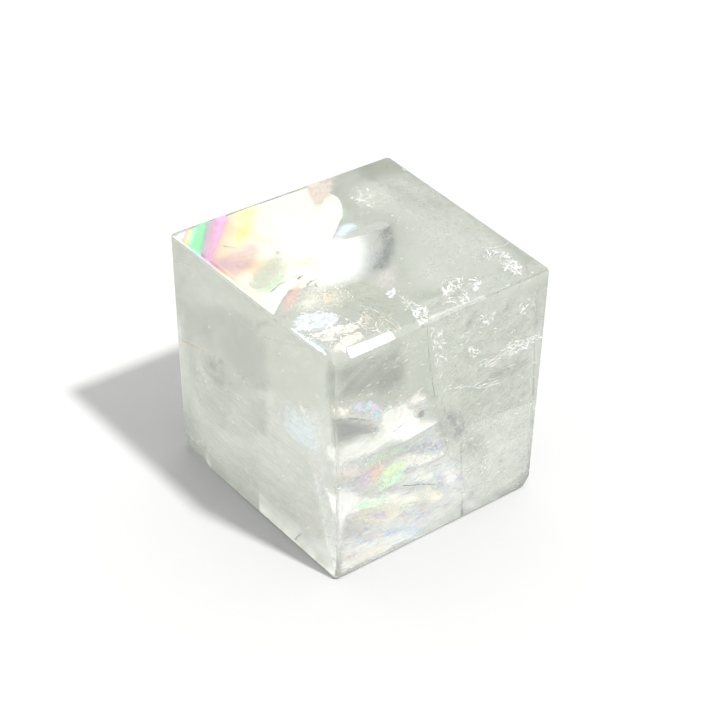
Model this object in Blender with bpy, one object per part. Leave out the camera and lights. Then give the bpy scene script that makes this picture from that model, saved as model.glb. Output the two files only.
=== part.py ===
"""A polished block of clear calcite, about 42 mm each way, that rests on its ground base.

The block is one solid. It is cut from a rough cube the way a lapidary grinds one: six faces
are made flat, each leaning a degree or so from square, every arris gets a narrow bevel whose
width wanders from end to end, the blunted corners get a small facet, and one bottom corner
carries a shallow round nick.

Units are metres and +Z is up. The front faces -Y and the right side faces +X. The origin is
the middle of the base's footprint.
"""

from math import cos, radians, sin
from typing import NamedTuple

import bmesh
import bpy
from mathutils import Matrix, Vector

COLLECTION = "raw_rainbow_calcite"
CUTTERS = "cutters"
NODE = "calcite_crystal"

# Driving dimensions
HEIGHT = 0.0420
WIDTH = 0.0414
DEPTH = 0.0395
ROUGH_SIDE = 0.0700

NICK_RIM_RADIUS = 0.0080
NICK_FLOOR_RADIUS = 0.0058
NICK_DEPTH = 0.0006
NICK_CLEARANCE = 0.0006
NICK_SIDES = 48

CALCITE_COLOUR = (0.80, 0.82, 0.79, 1.0)
POLISH_ROUGHNESS = 0.06


class Plane(NamedTuple):
    """A flat cut: the stone on the side that normal points to is ground away."""

    normal: Vector
    point: Vector


class GroundFace(NamedTuple):
    """One of the six faces: the way it looks, in degrees, and how far out it lies."""

    heading: float
    lean: float
    distance: float


class EdgeBevel(NamedTuple):
    """A bevel on the edge between two faces, from one stopping face to the other."""

    faces: tuple[str, str]
    ends: tuple[str, str]
    start_width: float
    end_width: float
    spread: float


class CornerFacet(NamedTuple):
    """A facet where three faces meet, with its setback along each of the three edges.

    The setbacks are those along first-second, second-third and third-first.
    """

    faces: tuple[str, str, str]
    setbacks: tuple[float, float, float]


FACES = {
    "right": GroundFace(heading=-1.1, lean=0.2, distance=WIDTH / 2),
    "left": GroundFace(heading=178.6, lean=0.9, distance=WIDTH / 2),
    "front": GroundFace(heading=-88.9, lean=-0.4, distance=DEPTH / 2),
    "back": GroundFace(heading=88.9, lean=-1.4, distance=DEPTH / 2),
    "top": GroundFace(heading=37.0, lean=89.2, distance=HEIGHT),
    "base": GroundFace(heading=0.0, lean=-90.0, distance=0.0),
}

EDGE_BEVELS = (
    EdgeBevel(("top", "right"), ("front", "back"), 0.00120, 0.00010, 1.05),
    EdgeBevel(("top", "front"), ("left", "right"), 0.00070, 0.00075, 1.25),
    EdgeBevel(("top", "left"), ("front", "back"), 0.00035, 0.00030, 1.00),
    EdgeBevel(("top", "back"), ("left", "right"), 0.00030, 0.00025, 1.00),
    EdgeBevel(("front", "right"), ("base", "top"), 0.00015, 0.00110, 0.35),
    EdgeBevel(("right", "back"), ("base", "top"), 0.00045, 0.00030, 0.90),
    EdgeBevel(("front", "left"), ("base", "top"), 0.00050, 0.00035, 0.80),
    EdgeBevel(("left", "back"), ("base", "top"), 0.00045, 0.00055, 1.00),
    EdgeBevel(("base", "front"), ("left", "right"), 0.00040, 0.00060, 0.70),
    EdgeBevel(("base", "right"), ("front", "back"), 0.00035, 0.00045, 1.10),
    EdgeBevel(("base", "back"), ("left", "right"), 0.00050, 0.00040, 1.00),
    EdgeBevel(("base", "left"), ("front", "back"), 0.00045, 0.00050, 0.90),
)

CORNER_FACETS = (
    CornerFacet(("base", "right", "back"), (0.0019, 0.0026, 0.0015)),
    CornerFacet(("top", "left", "back"), (0.0010, 0.0008, 0.0009)),
    CornerFacet(("top", "right", "back"), (0.0006, 0.0007, 0.0008)),
    CornerFacet(("top", "front", "left"), (0.0009, 0.0006, 0.0007)),
    CornerFacet(("base", "front", "right"), (0.0008, 0.0010, 0.0009)),
)

NICKED_CORNER = ("base", "front", "left")


def clear_scene():
    """Remove every object that the scene starts with."""
    for thing in list(bpy.data.objects):
        bpy.data.objects.remove(thing, do_unlink=True)


def add_collection(name):
    """Return a new collection that hangs under the scene."""
    collection = bpy.data.collections.new(name)
    bpy.context.scene.collection.children.link(collection)
    return collection


def face_plane(name):
    """Return the plane of one of the six ground faces."""
    face = FACES[name]
    heading, lean = radians(face.heading), radians(face.lean)
    normal = Vector((cos(heading) * cos(lean), sin(heading) * cos(lean), sin(lean)))
    return Plane(normal, normal * face.distance)


def meeting_point(*names):
    """Return the point where three of the ground faces meet."""
    planes = [face_plane(name) for name in names]
    rows = Matrix([plane.normal for plane in planes])
    offsets = Vector([plane.normal.dot(plane.point) for plane in planes])
    return rows.inverted() @ offsets


def edge_direction(first, second, leaving):
    """Return the way along the edge of two faces that runs away from a third."""
    direction = face_plane(first).normal.cross(face_plane(second).normal).normalized()
    return -direction if direction.dot(face_plane(leaving).normal) > 0 else direction


def inward_along(face, edge_partner, direction):
    """Return the way across a face, square to an edge, that leads into the face."""
    across = face_plane(face).normal.cross(direction).normalized()
    return -across if across.dot(face_plane(edge_partner).normal) > 0 else across


def plane_through(points, outward):
    """Return the plane through three points that faces the outward side."""
    normal = (points[1] - points[0]).cross(points[2] - points[0]).normalized()
    if normal.dot(outward) < 0:
        normal = -normal
    return Plane(normal, points[0])


def bevel_plane(bevel):
    """Return the plane that cuts one edge bevel."""
    first, second = bevel.faces
    start = meeting_point(first, second, bevel.ends[0])
    end = meeting_point(first, second, bevel.ends[1])
    direction = (end - start).normalized()
    on_first = inward_along(first, second, direction)
    on_second = inward_along(second, first, direction)
    points = (
        start + on_first * bevel.start_width,
        end + on_first * bevel.end_width,
        start + on_second * bevel.start_width * bevel.spread,
    )
    return plane_through(points, face_plane(first).normal + face_plane(second).normal)


def facet_plane(facet):
    """Return the plane that cuts one corner facet."""
    a, b, c = facet.faces
    corner = meeting_point(a, b, c)
    edges = ((a, b, c), (b, c, a), (c, a, b))
    points = [corner + edge_direction(*edge) * setback for edge, setback in zip(edges, facet.setbacks)]
    outward = sum((face_plane(name).normal for name in facet.faces), Vector())
    return plane_through(points, outward)


def grind(bm, plane):
    """Cut the stone at a plane, drop what lies outside and close the cut."""
    geometry = bm.verts[:] + bm.edges[:] + bm.faces[:]
    cut = bmesh.ops.bisect_plane(
        bm, geom=geometry, dist=1e-7, plane_co=plane.point, plane_no=plane.normal, clear_outer=True
    )
    rim = [item for item in cut["geom_cut"] if isinstance(item, bmesh.types.BMEdge)]
    bmesh.ops.holes_fill(bm, edges=rim)


def ground_block():
    """Return a mesh of the rough cube after every face, bevel and facet is ground."""
    bm = bmesh.new()
    bmesh.ops.create_cube(bm, size=ROUGH_SIDE, matrix=Matrix.Translation((0, 0, HEIGHT / 2)))
    cuts = [face_plane(name) for name in FACES]
    cuts += [bevel_plane(bevel) for bevel in EDGE_BEVELS]
    cuts += [facet_plane(facet) for facet in CORNER_FACETS]
    for plane in cuts:
        grind(bm, plane)
    bmesh.ops.recalc_face_normals(bm, faces=bm.faces)
    mesh = bpy.data.meshes.new(NODE)
    bm.to_mesh(mesh)
    bm.free()
    return mesh


def nick_cutter(collection):
    """Return the shallow, round-rimmed disc that bites the nick out of its corner."""
    slope = (NICK_RIM_RADIUS - NICK_FLOOR_RADIUS) / NICK_DEPTH
    bm = bmesh.new()
    bmesh.ops.create_cone(
        bm,
        cap_ends=True,
        segments=NICK_SIDES,
        radius1=NICK_FLOOR_RADIUS,
        radius2=NICK_RIM_RADIUS + slope * NICK_CLEARANCE,
        depth=NICK_DEPTH + NICK_CLEARANCE,
        matrix=Matrix.Translation((0, 0, (NICK_CLEARANCE - NICK_DEPTH) / 2)),
    )
    mesh = bpy.data.meshes.new("nick_cutter")
    bm.to_mesh(mesh)
    bm.free()
    cutter = bpy.data.objects.new("nick_cutter", mesh)
    collection.objects.link(cutter)
    outward = face_plane("front").normal
    cutter.rotation_euler = outward.to_track_quat("Z", "Y").to_euler()
    cutter.location = meeting_point(*NICKED_CORNER)
    cutter.hide_render = True
    cutter.display_type = "WIRE"
    return cutter


def calcite_material():
    """Return the see-through polished stone."""
    material = bpy.data.materials.new("polished_calcite")
    material.use_nodes = True
    surface = material.node_tree.nodes["Principled BSDF"]
    surface.inputs["Base Color"].default_value = CALCITE_COLOUR
    surface.inputs["Roughness"].default_value = POLISH_ROUGHNESS
    surface.inputs["Metallic"].default_value = 0.0
    material.diffuse_color = CALCITE_COLOUR
    return material


def stand_on_origin(crystal, followers):
    """Move the stone, and what is placed with it, so that its base is centred on the origin."""
    corners = [Vector(corner) for corner in crystal.bound_box]
    low = Vector([min(corner[axis] for corner in corners) for axis in range(3)])
    high = Vector([max(corner[axis] for corner in corners) for axis in range(3)])
    shift = -Vector(((low.x + high.x) / 2, (low.y + high.y) / 2, low.z))
    crystal.data.transform(Matrix.Translation(shift))
    for follower in followers:
        follower.location += shift


def build():
    """Build the crystal in its own collection."""
    clear_scene()
    parts = add_collection(COLLECTION)
    cutters = add_collection(CUTTERS)
    crystal = bpy.data.objects.new(NODE, ground_block())
    crystal.data.materials.append(calcite_material())
    parts.objects.link(crystal)
    cutter = nick_cutter(cutters)
    stand_on_origin(crystal, [cutter])
    nick = crystal.modifiers.new("corner_nick", "BOOLEAN")
    nick.operation = "DIFFERENCE"
    nick.solver = "EXACT"
    nick.object = cutter


build()
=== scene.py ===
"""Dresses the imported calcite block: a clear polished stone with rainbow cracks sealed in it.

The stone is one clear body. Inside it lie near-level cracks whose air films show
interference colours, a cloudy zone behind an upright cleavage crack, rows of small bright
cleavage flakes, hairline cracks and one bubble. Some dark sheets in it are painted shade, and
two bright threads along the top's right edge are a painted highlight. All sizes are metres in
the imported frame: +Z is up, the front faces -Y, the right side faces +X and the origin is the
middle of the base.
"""

import logging
import math
import random
from dataclasses import dataclass, replace
from enum import Enum
from typing import ClassVar, Sequence

import bmesh
import bpy
import numpy as np
from mathutils import Matrix, Vector, noise
from mathutils.geometry import delaunay_2d_cdt


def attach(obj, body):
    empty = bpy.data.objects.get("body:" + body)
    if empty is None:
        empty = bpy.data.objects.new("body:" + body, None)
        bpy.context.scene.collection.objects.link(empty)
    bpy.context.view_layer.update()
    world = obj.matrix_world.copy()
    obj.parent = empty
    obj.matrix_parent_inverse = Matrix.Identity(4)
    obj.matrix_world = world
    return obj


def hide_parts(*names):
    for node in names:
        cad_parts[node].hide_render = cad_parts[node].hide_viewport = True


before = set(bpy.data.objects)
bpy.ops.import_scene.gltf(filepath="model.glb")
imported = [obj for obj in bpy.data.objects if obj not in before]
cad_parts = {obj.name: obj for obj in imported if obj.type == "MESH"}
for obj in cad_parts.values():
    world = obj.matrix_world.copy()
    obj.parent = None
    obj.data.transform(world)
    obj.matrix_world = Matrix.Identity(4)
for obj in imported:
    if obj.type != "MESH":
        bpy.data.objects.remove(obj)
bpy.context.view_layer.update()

LOG = logging.getLogger("calcite")

NODE = "calcite_crystal"
BODY = "root"
CALCITE_IOR = 1.57
MM = 0.001

# The share of the lamps' light that passes a face of the stone, a crack and a mist
STONE_SHARE = 0.41
FILM_SHARE = 0.9
MIST_SHARE = 0.995

# The stone's three finishes, by material index
POLISHED, SATIN, FROSTED = range(3)

# How far inside the stone's faces every sheet ends, in millimetres
SKIN = 0.1

Point = tuple[float, float, float]
Colour = tuple[float, float, float]
Mark = tuple[float, float]


# Node trees
# ----------

class Tree:
    """A short way to add and join nodes in a shader or geometry tree."""

    def __init__(self, tree: bpy.types.NodeTree) -> None:
        """Wrap a node tree."""
        self.tree = tree

    def add(self, kind: str, /, **settings: object) -> bpy.types.Node:
        """Add a node.

        Args:
            kind: The node's type name.
            **settings: Properties to set on it.

        Returns:
            The new node.
        """
        node = self.tree.nodes.new(kind)
        for name, value in settings.items():
            setattr(node, name, value)
        return node

    def feed(self, node: bpy.types.Node, **values: object) -> bpy.types.Node:
        """Set or link a node's inputs by name, with _ for each space.

        Args:
            node: The node to feed.
            **values: A socket to link from, or a plain value, for each input.

        Returns:
            The same node.
        """
        for name, value in values.items():
            self.put(node.inputs[name.replace("_", " ")], value)
        return node

    def put(self, socket: bpy.types.NodeSocket, value: object) -> None:
        """Link a socket from another, or set its value."""
        if isinstance(value, bpy.types.NodeSocket):
            self.tree.links.new(value, socket)
        else:
            socket.default_value = value

    def math(self, operation: str, *operands: object, clamp: bool = False) -> bpy.types.NodeSocket:
        """Add a Math node.

        Args:
            operation: The node's operation.
            *operands: Sockets or numbers, in order.
            clamp: Whether the result is held between 0 and 1.

        Returns:
            The result socket.
        """
        node = self.add("ShaderNodeMath", operation=operation, use_clamp=clamp)
        for socket, value in zip(node.inputs, operands):
            self.put(socket, value)
        return node.outputs[0]

    def vector(self, operation: str, first: object, second: object = None,
               scale: object = None) -> bpy.types.Node:
        """Add a Vector Math node.

        Args:
            operation: The node's operation.
            first: The first vector, or the socket that gives it.
            second: The second vector, where the operation has one.
            scale: The factor, where the operation has one.

        Returns:
            The new node.
        """
        node = self.add("ShaderNodeVectorMath", operation=operation)
        for key, value in ((0, first), (1, second), ("Scale", scale)):
            if value is not None:
                self.put(node.inputs[key], value)
        return node

    def remap(self, value: object, low: float, high: float, out_low: float, out_high: float,
              smooth: bool = False) -> bpy.types.NodeSocket:
        """Add a clamped Map Range node.

        Args:
            value: The socket to remap.
            low: The input that gives out_low.
            high: The input that gives out_high.
            out_low: The result at low.
            out_high: The result at high.
            smooth: Whether the ends are eased.

        Returns:
            The result socket.
        """
        node = self.add("ShaderNodeMapRange")
        node.interpolation_type = "SMOOTHSTEP" if smooth else "LINEAR"
        for index, item in enumerate((value, low, high, out_low, out_high)):
            self.put(node.inputs[index], item)
        return node.outputs[0]

    def blend(self, share: bpy.types.NodeSocket, first: Colour, second: Colour) -> bpy.types.NodeSocket:
        """Mix two colours.

        Args:
            share: How much of the second colour shows.
            first: The colour where share is 0.
            second: The colour where share is 1.

        Returns:
            The colour socket.
        """
        mix = self.add("ShaderNodeMix", data_type="RGBA")
        for index, value in ((0, share), (6, (*first, 1.0)), (7, (*second, 1.0))):
            self.put(mix.inputs[index], value)
        return mix.outputs[2]

    def noise(self, vector: object, scale: object, detail: float = 3.0, rough: float = 0.55,
              distortion: float = 0.0) -> bpy.types.Node:
        """Add a Noise Texture node and return it."""
        node = self.add("ShaderNodeTexNoise")
        return self.feed(node, Vector=vector, Scale=scale, Detail=detail, Roughness=rough,
                         Distortion=distortion)


class Group(Tree):
    """A shader node group under construction, with named inputs and outputs."""

    def __init__(self, name: str, inputs: dict[str, object], outputs: dict[str, str]) -> None:
        """Open a new group.

        Args:
            name: The group's name.
            inputs: Each input's default, a number or a three-number vector.
            outputs: Each output's socket type.
        """
        super().__init__(bpy.data.node_groups.new(name, "ShaderNodeTree"))
        for label, default in inputs.items():
            kind = "NodeSocketFloat" if isinstance(default, float) else "NodeSocketVector"
            socket = self.tree.interface.new_socket(label, in_out="INPUT", socket_type=kind)
            socket.default_value = default
        for label, kind in outputs.items():
            self.tree.interface.new_socket(label, in_out="OUTPUT", socket_type=kind)
        self.given = self.add("NodeGroupInput").outputs
        self.result = self.add("NodeGroupOutput")

    def place(self, tree: Tree, **values: object) -> bpy.types.Node:
        """Put this group into a tree and feed its inputs."""
        node = tree.add("ShaderNodeGroup", node_tree=self.tree)
        return tree.feed(node, **values)


def air_film_group() -> Group:
    """Return the group that turns an air film's thickness into its interference colour.

    Each of red, green and blue is reflected as the squared sine of its phase. Pallor mixes
    the colour with white, as a crack that reflects by itself does, and so does a film
    too thick to show one colour. Lustre is the share of the light that comes back.
    """
    group = Group("air_film", {"Thickness": 300.0, "Pallor": 0.3, "Lustre": 0.8},
                  {"Color": "NodeSocketColor"})
    wavelengths = (650.0, 532.0, 442.0)
    phase = group.vector("SCALE", tuple(math.tau / nm for nm in wavelengths),
                         scale=group.given["Thickness"])
    wave = group.vector("SINE", phase.outputs[0])
    square = group.vector("MULTIPLY", wave.outputs[0], wave.outputs[0])
    washed = group.remap(group.given["Thickness"], 440.0, 540.0, 0.0, 1.0, smooth=True)
    pale = group.add("ShaderNodeMix", data_type="RGBA")
    group.put(pale.inputs[0], group.math("MAXIMUM", group.given["Pallor"], washed))
    group.put(pale.inputs[6], square.outputs[0])
    group.put(pale.inputs[7], (1.0, 1.0, 1.0, 1.0))
    lustre = group.vector("SCALE", pale.outputs[2], scale=group.given["Lustre"])
    group.put(group.result.inputs["Color"], lustre.outputs[0])
    return group


def film_depth_group() -> Group:
    """Return the group that says how thick a crack's air film is at a place, in nanometres.

    Local X runs away from the crack's mouth. The film changes steadily by Slope for each
    metre, swells by Swell at the mouth, wanders with a slow noise by Ripple, takes the Extra
    of its swellings, and pinches out over the length Taper where X reaches Close. Fray is how
    far that end wanders. Open is 1 where the crack is open and 0 where it is pinched out.
    """
    group = Group(
        "film_depth",
        {"Vector": (0.0, 0.0, 0.0), "Base": 150.0, "Slope": 0.0, "Swell": 300.0, "Decay": 0.003,
         "Ripple": 20.0, "Grain": 300.0, "Extra": 0.0, "Close": 1.0, "Taper": 0.005, "Fray": 0.0},
        {"Thickness": "NodeSocketFloat", "Open": "NodeSocketFloat"},
    )
    split = group.add("ShaderNodeSeparateXYZ")
    group.put(split.inputs[0], group.given["Vector"])
    along = split.outputs[0]
    fade = group.math("DIVIDE", along, group.given["Decay"])
    swell = group.math("MULTIPLY", group.math("EXPONENT", group.math("MULTIPLY", fade, -1.0)),
                       group.given["Swell"])
    steady = group.math("MULTIPLY", along, group.given["Slope"])
    wander = group.noise(group.given["Vector"], group.given["Grain"], 3.0, 0.5, 0.4)
    ripple = group.math("MULTIPLY", group.math("SUBTRACT", wander.outputs[0], 0.5),
                        group.given["Ripple"])
    total = group.given["Base"]
    for part in (swell, steady, ripple, group.given["Extra"]):
        total = group.math("ADD", total, part)
    drawn_out = group.add("ShaderNodeMapping", vector_type="POINT")
    group.feed(drawn_out, Vector=group.given["Vector"], Scale=(0.12, 1.0, 1.0))
    tongues = group.noise(drawn_out.outputs[0], 700.0, 4.0, 0.6)
    fray = group.math("MULTIPLY", group.math("SUBTRACT", tongues.outputs[0], 0.5),
                      group.given["Fray"])
    left = group.math("SUBTRACT", group.math("ADD", group.given["Close"], fray), along)
    open_share = group.math("DIVIDE", left, group.given["Taper"], clamp=True)
    group.put(group.result.inputs["Thickness"], group.math("MULTIPLY", total, open_share))
    group.put(group.result.inputs["Open"], open_share)
    return group


def dome_group() -> Group:
    """Return the group that gives a smooth round dome, Height high and 1 unit in reach."""
    group = Group("dome", {"Vector": (0.0, 0.0, 0.0), "Height": 50.0}, {"Value": "NodeSocketFloat"})
    square = group.vector("DOT_PRODUCT", group.given["Vector"], group.given["Vector"])
    fall = group.math("EXPONENT", group.math("MULTIPLY", square.outputs["Value"], -1.0))
    group.put(group.result.inputs["Value"], group.math("MULTIPLY", fall, group.given["Height"]))
    return group


def patches_group() -> Group:
    """Return the group that gives a patchy mask between 0 and 1.

    Cover is the share of the surface that is filled, and Softness how gradual its edges are.
    """
    group = Group(
        "patches",
        {"Vector": (0.0, 0.0, 0.0), "Grain": 300.0, "Cover": 0.6, "Softness": 0.1, "Detail": 4.0},
        {"Mask": "NodeSocketFloat"},
    )
    field = group.add("ShaderNodeTexNoise")
    group.feed(field, Vector=group.given["Vector"], Scale=group.given["Grain"],
               Detail=group.given["Detail"], Roughness=0.6, Distortion=0.6)
    spread = group.remap(field.outputs[0], 0.25, 0.75, 0.0, 1.0)
    level = group.math("SUBTRACT", 1.0, group.given["Cover"])
    low = group.math("SUBTRACT", level, group.given["Softness"])
    high = group.math("ADD", level, group.given["Softness"])
    group.put(group.result.inputs["Mask"], group.remap(spread, low, high, 0.0, 1.0, smooth=True))
    return group


def rim_fade_group() -> Group:
    """Return the group that fades a sheet out over its hem, from the distance to its rim."""
    group = Group("rim_fade", {"Rim": 1.0, "Hem": 0.001}, {"Mask": "NodeSocketFloat"})
    share = group.math("DIVIDE", group.given["Rim"], group.given["Hem"], clamp=True)
    group.put(group.result.inputs["Mask"], group.remap(share, 0.0, 1.0, 0.0, 1.0, smooth=True))
    return group


@dataclass(frozen=True)
class Effects:
    """The node groups that several finishes share."""

    air_film: Group
    film_depth: Group
    dome: Group
    patches: Group
    rim_fade: Group

    @classmethod
    def make(cls) -> "Effects":
        """Build the groups once."""
        return cls(air_film_group(), film_depth_group(), dome_group(), patches_group(), rim_fade_group())


# Finishes
# --------

def new_material(name: str) -> tuple[bpy.types.Material, Tree, bpy.types.Node]:
    """Return a new material, its tree and its Principled node."""
    material = bpy.data.materials.new(name)
    material.use_nodes = True
    tree = Tree(material.node_tree)
    return material, tree, material.node_tree.nodes["Principled BSDF"]


def local_place(tree: Tree, origin: Point = (0.0, 0.0, 0.0), heading: float = 0.0,
                stretch: Point = (1.0, 1.0, 1.0), lean: float = 0.0) -> bpy.types.NodeSocket:
    """Return object coordinates measured from an origin along turned axes.

    Args:
        tree: The material's tree.
        origin: Where the pattern's zero lies, in millimetres.
        heading: The turn of the pattern about Z, in degrees.
        stretch: How long the pattern's features are along each of its axes.
        lean: The turn of the pattern about X, in degrees.

    Returns:
        The vector socket, in metres.
    """
    coordinates = tree.add("ShaderNodeTexCoord")
    mapping = tree.add("ShaderNodeMapping", vector_type="TEXTURE")
    tree.feed(mapping, Vector=coordinates.outputs["Object"], Location=[MM * c for c in origin],
              Rotation=(math.radians(lean), 0.0, math.radians(heading)), Scale=stretch)
    return mapping.outputs[0]


def ragged_mask(tree: Tree, effects: Effects, place: bpy.types.NodeSocket, grain: float,
                cover: float, softness: float, hem: float, melts: bool = False) -> bpy.types.NodeSocket:
    """Return the mask of a patchy sheet that frays, or melts away, towards its rim.

    Args:
        tree: The material's tree.
        effects: The shared node groups.
        place: The coordinates that the patches are laid in.
        grain: The patches' features for each metre.
        cover: The share of the sheet that is filled.
        softness: How gradual the patches' edges are.
        hem: The width of the frayed rim, in metres.
        melts: Whether the rim fades out smoothly in place of fraying.

    Returns:
        The mask socket.
    """
    rim = tree.add("ShaderNodeAttribute", attribute_name="rim").outputs["Fac"]
    if melts:
        even = effects.patches.place(tree, Vector=place, Grain=grain, Softness=softness, Detail=3.0,
                                     Cover=cover)
        fade = effects.rim_fade.place(tree, Rim=rim, Hem=hem).outputs[0]
        return tree.math("MULTIPLY", even.outputs[0], fade)
    frayed = effects.rim_fade.place(tree, Rim=rim, Hem=hem).outputs[0]
    closed = effects.rim_fade.place(tree, Rim=rim, Hem=0.3 * hem).outputs[0]
    patches = effects.patches.place(tree, Vector=place, Grain=grain, Softness=softness, Detail=6.0,
                                    Cover=tree.math("MULTIPLY", frayed, cover))
    return tree.math("MULTIPLY", patches.outputs[0], closed)


def let_lamps_in(tree: Tree, shader: bpy.types.Node, output: bpy.types.Node,
                 share: float = STONE_SHARE) -> None:
    """Let a share of the lamps' light straight through a clear surface, so it lights what is inside.

    Args:
        tree: The material's tree.
        shader: The surface's shader.
        output: The material's output.
        share: The share of the light that passes.
    """
    rays = tree.add("ShaderNodeLightPath")
    through = tree.add("ShaderNodeBsdfTransparent")
    tree.feed(through, Color=(share, share, share, 1.0))
    choice = tree.add("ShaderNodeMixShader")
    tree.put(choice.inputs[0], rays.outputs["Is Shadow Ray"])
    tree.put(choice.inputs[1], shader.outputs[0])
    tree.put(choice.inputs[2], through.outputs[0])
    tree.put(output.inputs["Surface"], choice.outputs[0])


@dataclass(frozen=True)
class ClearStone:
    """The clear, faintly grey-green stone with its hand polish."""

    name: str
    roughness: float
    wave: float

    def material(self) -> bpy.types.Material:
        """Return the stone's material."""
        material, tree, shader = new_material(self.name)
        tree.feed(shader, Base_Color=(0.97, 0.98, 0.97, 1.0), Roughness=self.roughness,
                  IOR=CALCITE_IOR, Transmission_Weight=1.0)
        swell = tree.noise(local_place(tree), 90.0, 2.0, 0.5, 0.2)
        broad = tree.add("ShaderNodeBump")
        tree.feed(broad, Strength=self.wave, Distance=0.0008, Height=swell.outputs[0])
        tree.put(shader.inputs["Normal"], broad.outputs[0])
        absorb = tree.add("ShaderNodeVolumeAbsorption")
        tree.feed(absorb, Color=(0.78, 0.81, 0.75, 1.0), Density=18.0)
        output = material.node_tree.nodes["Material Output"]
        tree.put(output.inputs["Volume"], absorb.outputs[0])
        let_lamps_in(tree, shader, output)
        return material


@dataclass(frozen=True)
class FrostedArris:
    """The narrow, ground and unpolished edge between two polished faces."""

    name: str = "frosted_arris"

    def material(self) -> bpy.types.Material:
        """Return the edge's material."""
        material, tree, shader = new_material(self.name)
        grit = tree.noise(local_place(tree), 1600.0, 3.0, 0.6)
        shade = tree.remap(grit.outputs[0], 0.3, 0.7, 0.86, 1.0)
        tint = tree.add("ShaderNodeCombineColor")
        for socket in list(tint.inputs)[:3]:
            tree.put(socket, shade)
        tree.feed(shader, Base_Color=tint.outputs[0], Roughness=0.5, IOR=CALCITE_IOR,
                  Transmission_Weight=1.0)
        let_lamps_in(tree, shader, material.node_tree.nodes["Material Output"])
        return material


@dataclass(frozen=True)
class Swelling:
    """A place where a crack gapes: its middle (mm), heading, reach both ways (mm) and rise (nm)."""

    middle: Point
    heading: float
    reach: tuple[float, float]
    rise: float


@dataclass(frozen=True)
class FilmFinish:
    """A crack's bright face, with the interference colours of the air in it.

    The film's thickness is in nanometres, slope in nanometres for each millimetre, and mouth
    in millimetres; hem and the noise sizes are metres and features for each metre.
    """

    mouth: Point = (0.0, 0.0, 0.0)
    heading: float = 0.0
    base: float = 150.0
    slope: float = 0.0
    swell: float = 0.0
    decay: float = 0.003
    close: float = 1.0
    taper: float = 0.005
    ripple: float = 60.0
    grain: float = 160.0
    pallor: float = 0.4
    cover: float = 0.9
    softness: float = 0.15
    patch: float = 300.0
    hem: float = 0.0008
    strength: float = 0.95
    lustre: float = 1.0
    mirror: float = 0.65
    roughness: float = 0.1
    relief: float = 0.1
    fray: float = 0.0
    lean: float = 0.0
    stretch: Point = (1.0, 1.0, 1.0)
    melts: bool = False
    swellings: tuple[Swelling, ...] = ()

    def material(self, name: str, effects: Effects) -> bpy.types.Material:
        """Return the crack's material.

        Args:
            name: The material's name.
            effects: The shared node groups.

        Returns:
            The material.
        """
        material, tree, shader = new_material(name)
        place = local_place(tree, self.mouth, self.heading)
        long_place = local_place(tree, self.mouth, self.heading, self.stretch, self.lean)
        extra = 0.0
        for swelling in self.swellings:
            around = local_place(tree, swelling.middle, swelling.heading,
                                 (swelling.reach[0] * MM, swelling.reach[1] * MM, 1.0))
            dome = effects.dome.place(tree, Vector=around, Height=swelling.rise)
            extra = tree.math("ADD", extra, dome.outputs[0])
        depth = effects.film_depth.place(
            tree, Vector=place, Base=self.base, Slope=self.slope / MM, Swell=self.swell,
            Decay=self.decay, Ripple=self.ripple, Grain=self.grain, Extra=extra,
            Close=self.close, Taper=self.taper, Fray=self.fray)
        film = effects.air_film.place(tree, Thickness=depth.outputs[0], Pallor=self.pallor,
                                      Lustre=self.lustre)
        solid = ragged_mask(tree, effects, long_place, self.patch, self.cover, self.softness, self.hem,
                            self.melts)
        ribs = tree.noise(long_place, self.patch * 2.5, 4.0, 0.6, 0.5)
        relief = tree.add("ShaderNodeBump")
        tree.feed(relief, Strength=self.relief, Distance=0.0002, Height=ribs.outputs[0])
        parted = tree.remap(depth.outputs["Open"], 0.0, 0.9, 0.0, self.strength, smooth=True)
        tree.feed(shader, Base_Color=film.outputs[0], Metallic=self.mirror, Roughness=self.roughness,
                  Alpha=tree.math("MULTIPLY", solid, parted), Normal=relief.outputs[0])
        let_lamps_in(tree, shader, material.node_tree.nodes["Material Output"], FILM_SHARE)
        return material


@dataclass(frozen=True)
class MistFinish:
    """A cloudy sheet of specks too fine to see singly."""

    colour: Colour = (0.80, 0.82, 0.77)
    cover: float = 0.6
    strength: float = 0.3
    grain: float = 180.0
    softness: float = 0.35
    hem: float = 0.003
    heading: float = 0.0
    lean: float = 0.0
    stretch: Point = (1.0, 1.0, 1.0)
    melts: bool = True

    def material(self, name: str, effects: Effects) -> bpy.types.Material:
        """Return the sheet's material."""
        material, tree, shader = new_material(name)
        place = local_place(tree, heading=self.heading, stretch=self.stretch, lean=self.lean)
        shade = tree.noise(place, self.grain * 3.0, 2.0, 0.6)
        solid = ragged_mask(tree, effects, place, self.grain, self.cover, self.softness, self.hem,
                            self.melts)
        dull = tuple(0.85 * c for c in self.colour)
        tone = tree.blend(shade.outputs[0], dull, self.colour)
        tree.feed(shader, Base_Color=tone, Roughness=0.9,
                  Alpha=tree.math("MULTIPLY", solid, self.strength))
        let_lamps_in(tree, shader, material.node_tree.nodes["Material Output"], MIST_SHARE)
        return material


@dataclass(frozen=True)
class FlakeFinish:
    """Tiny cleavage flakes that flash white, some with a tint from a film of nanometres."""

    pallor: float = 0.9
    roughness: float = 0.25
    film: tuple[float, float] = (120.0, 420.0)

    def material(self, name: str, effects: Effects) -> bpy.types.Material:
        """Return the flakes' material."""
        material, tree, shader = new_material(name)
        spots = tree.noise(local_place(tree), 700.0, 2.0, 0.5)
        depth = tree.remap(spots.outputs[0], 0.3, 0.7, *self.film)
        film = effects.air_film.place(tree, Thickness=depth, Pallor=self.pallor, Lustre=1.0)
        tree.feed(shader, Base_Color=film.outputs[0], Metallic=0.2, Roughness=self.roughness)
        return material


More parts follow.
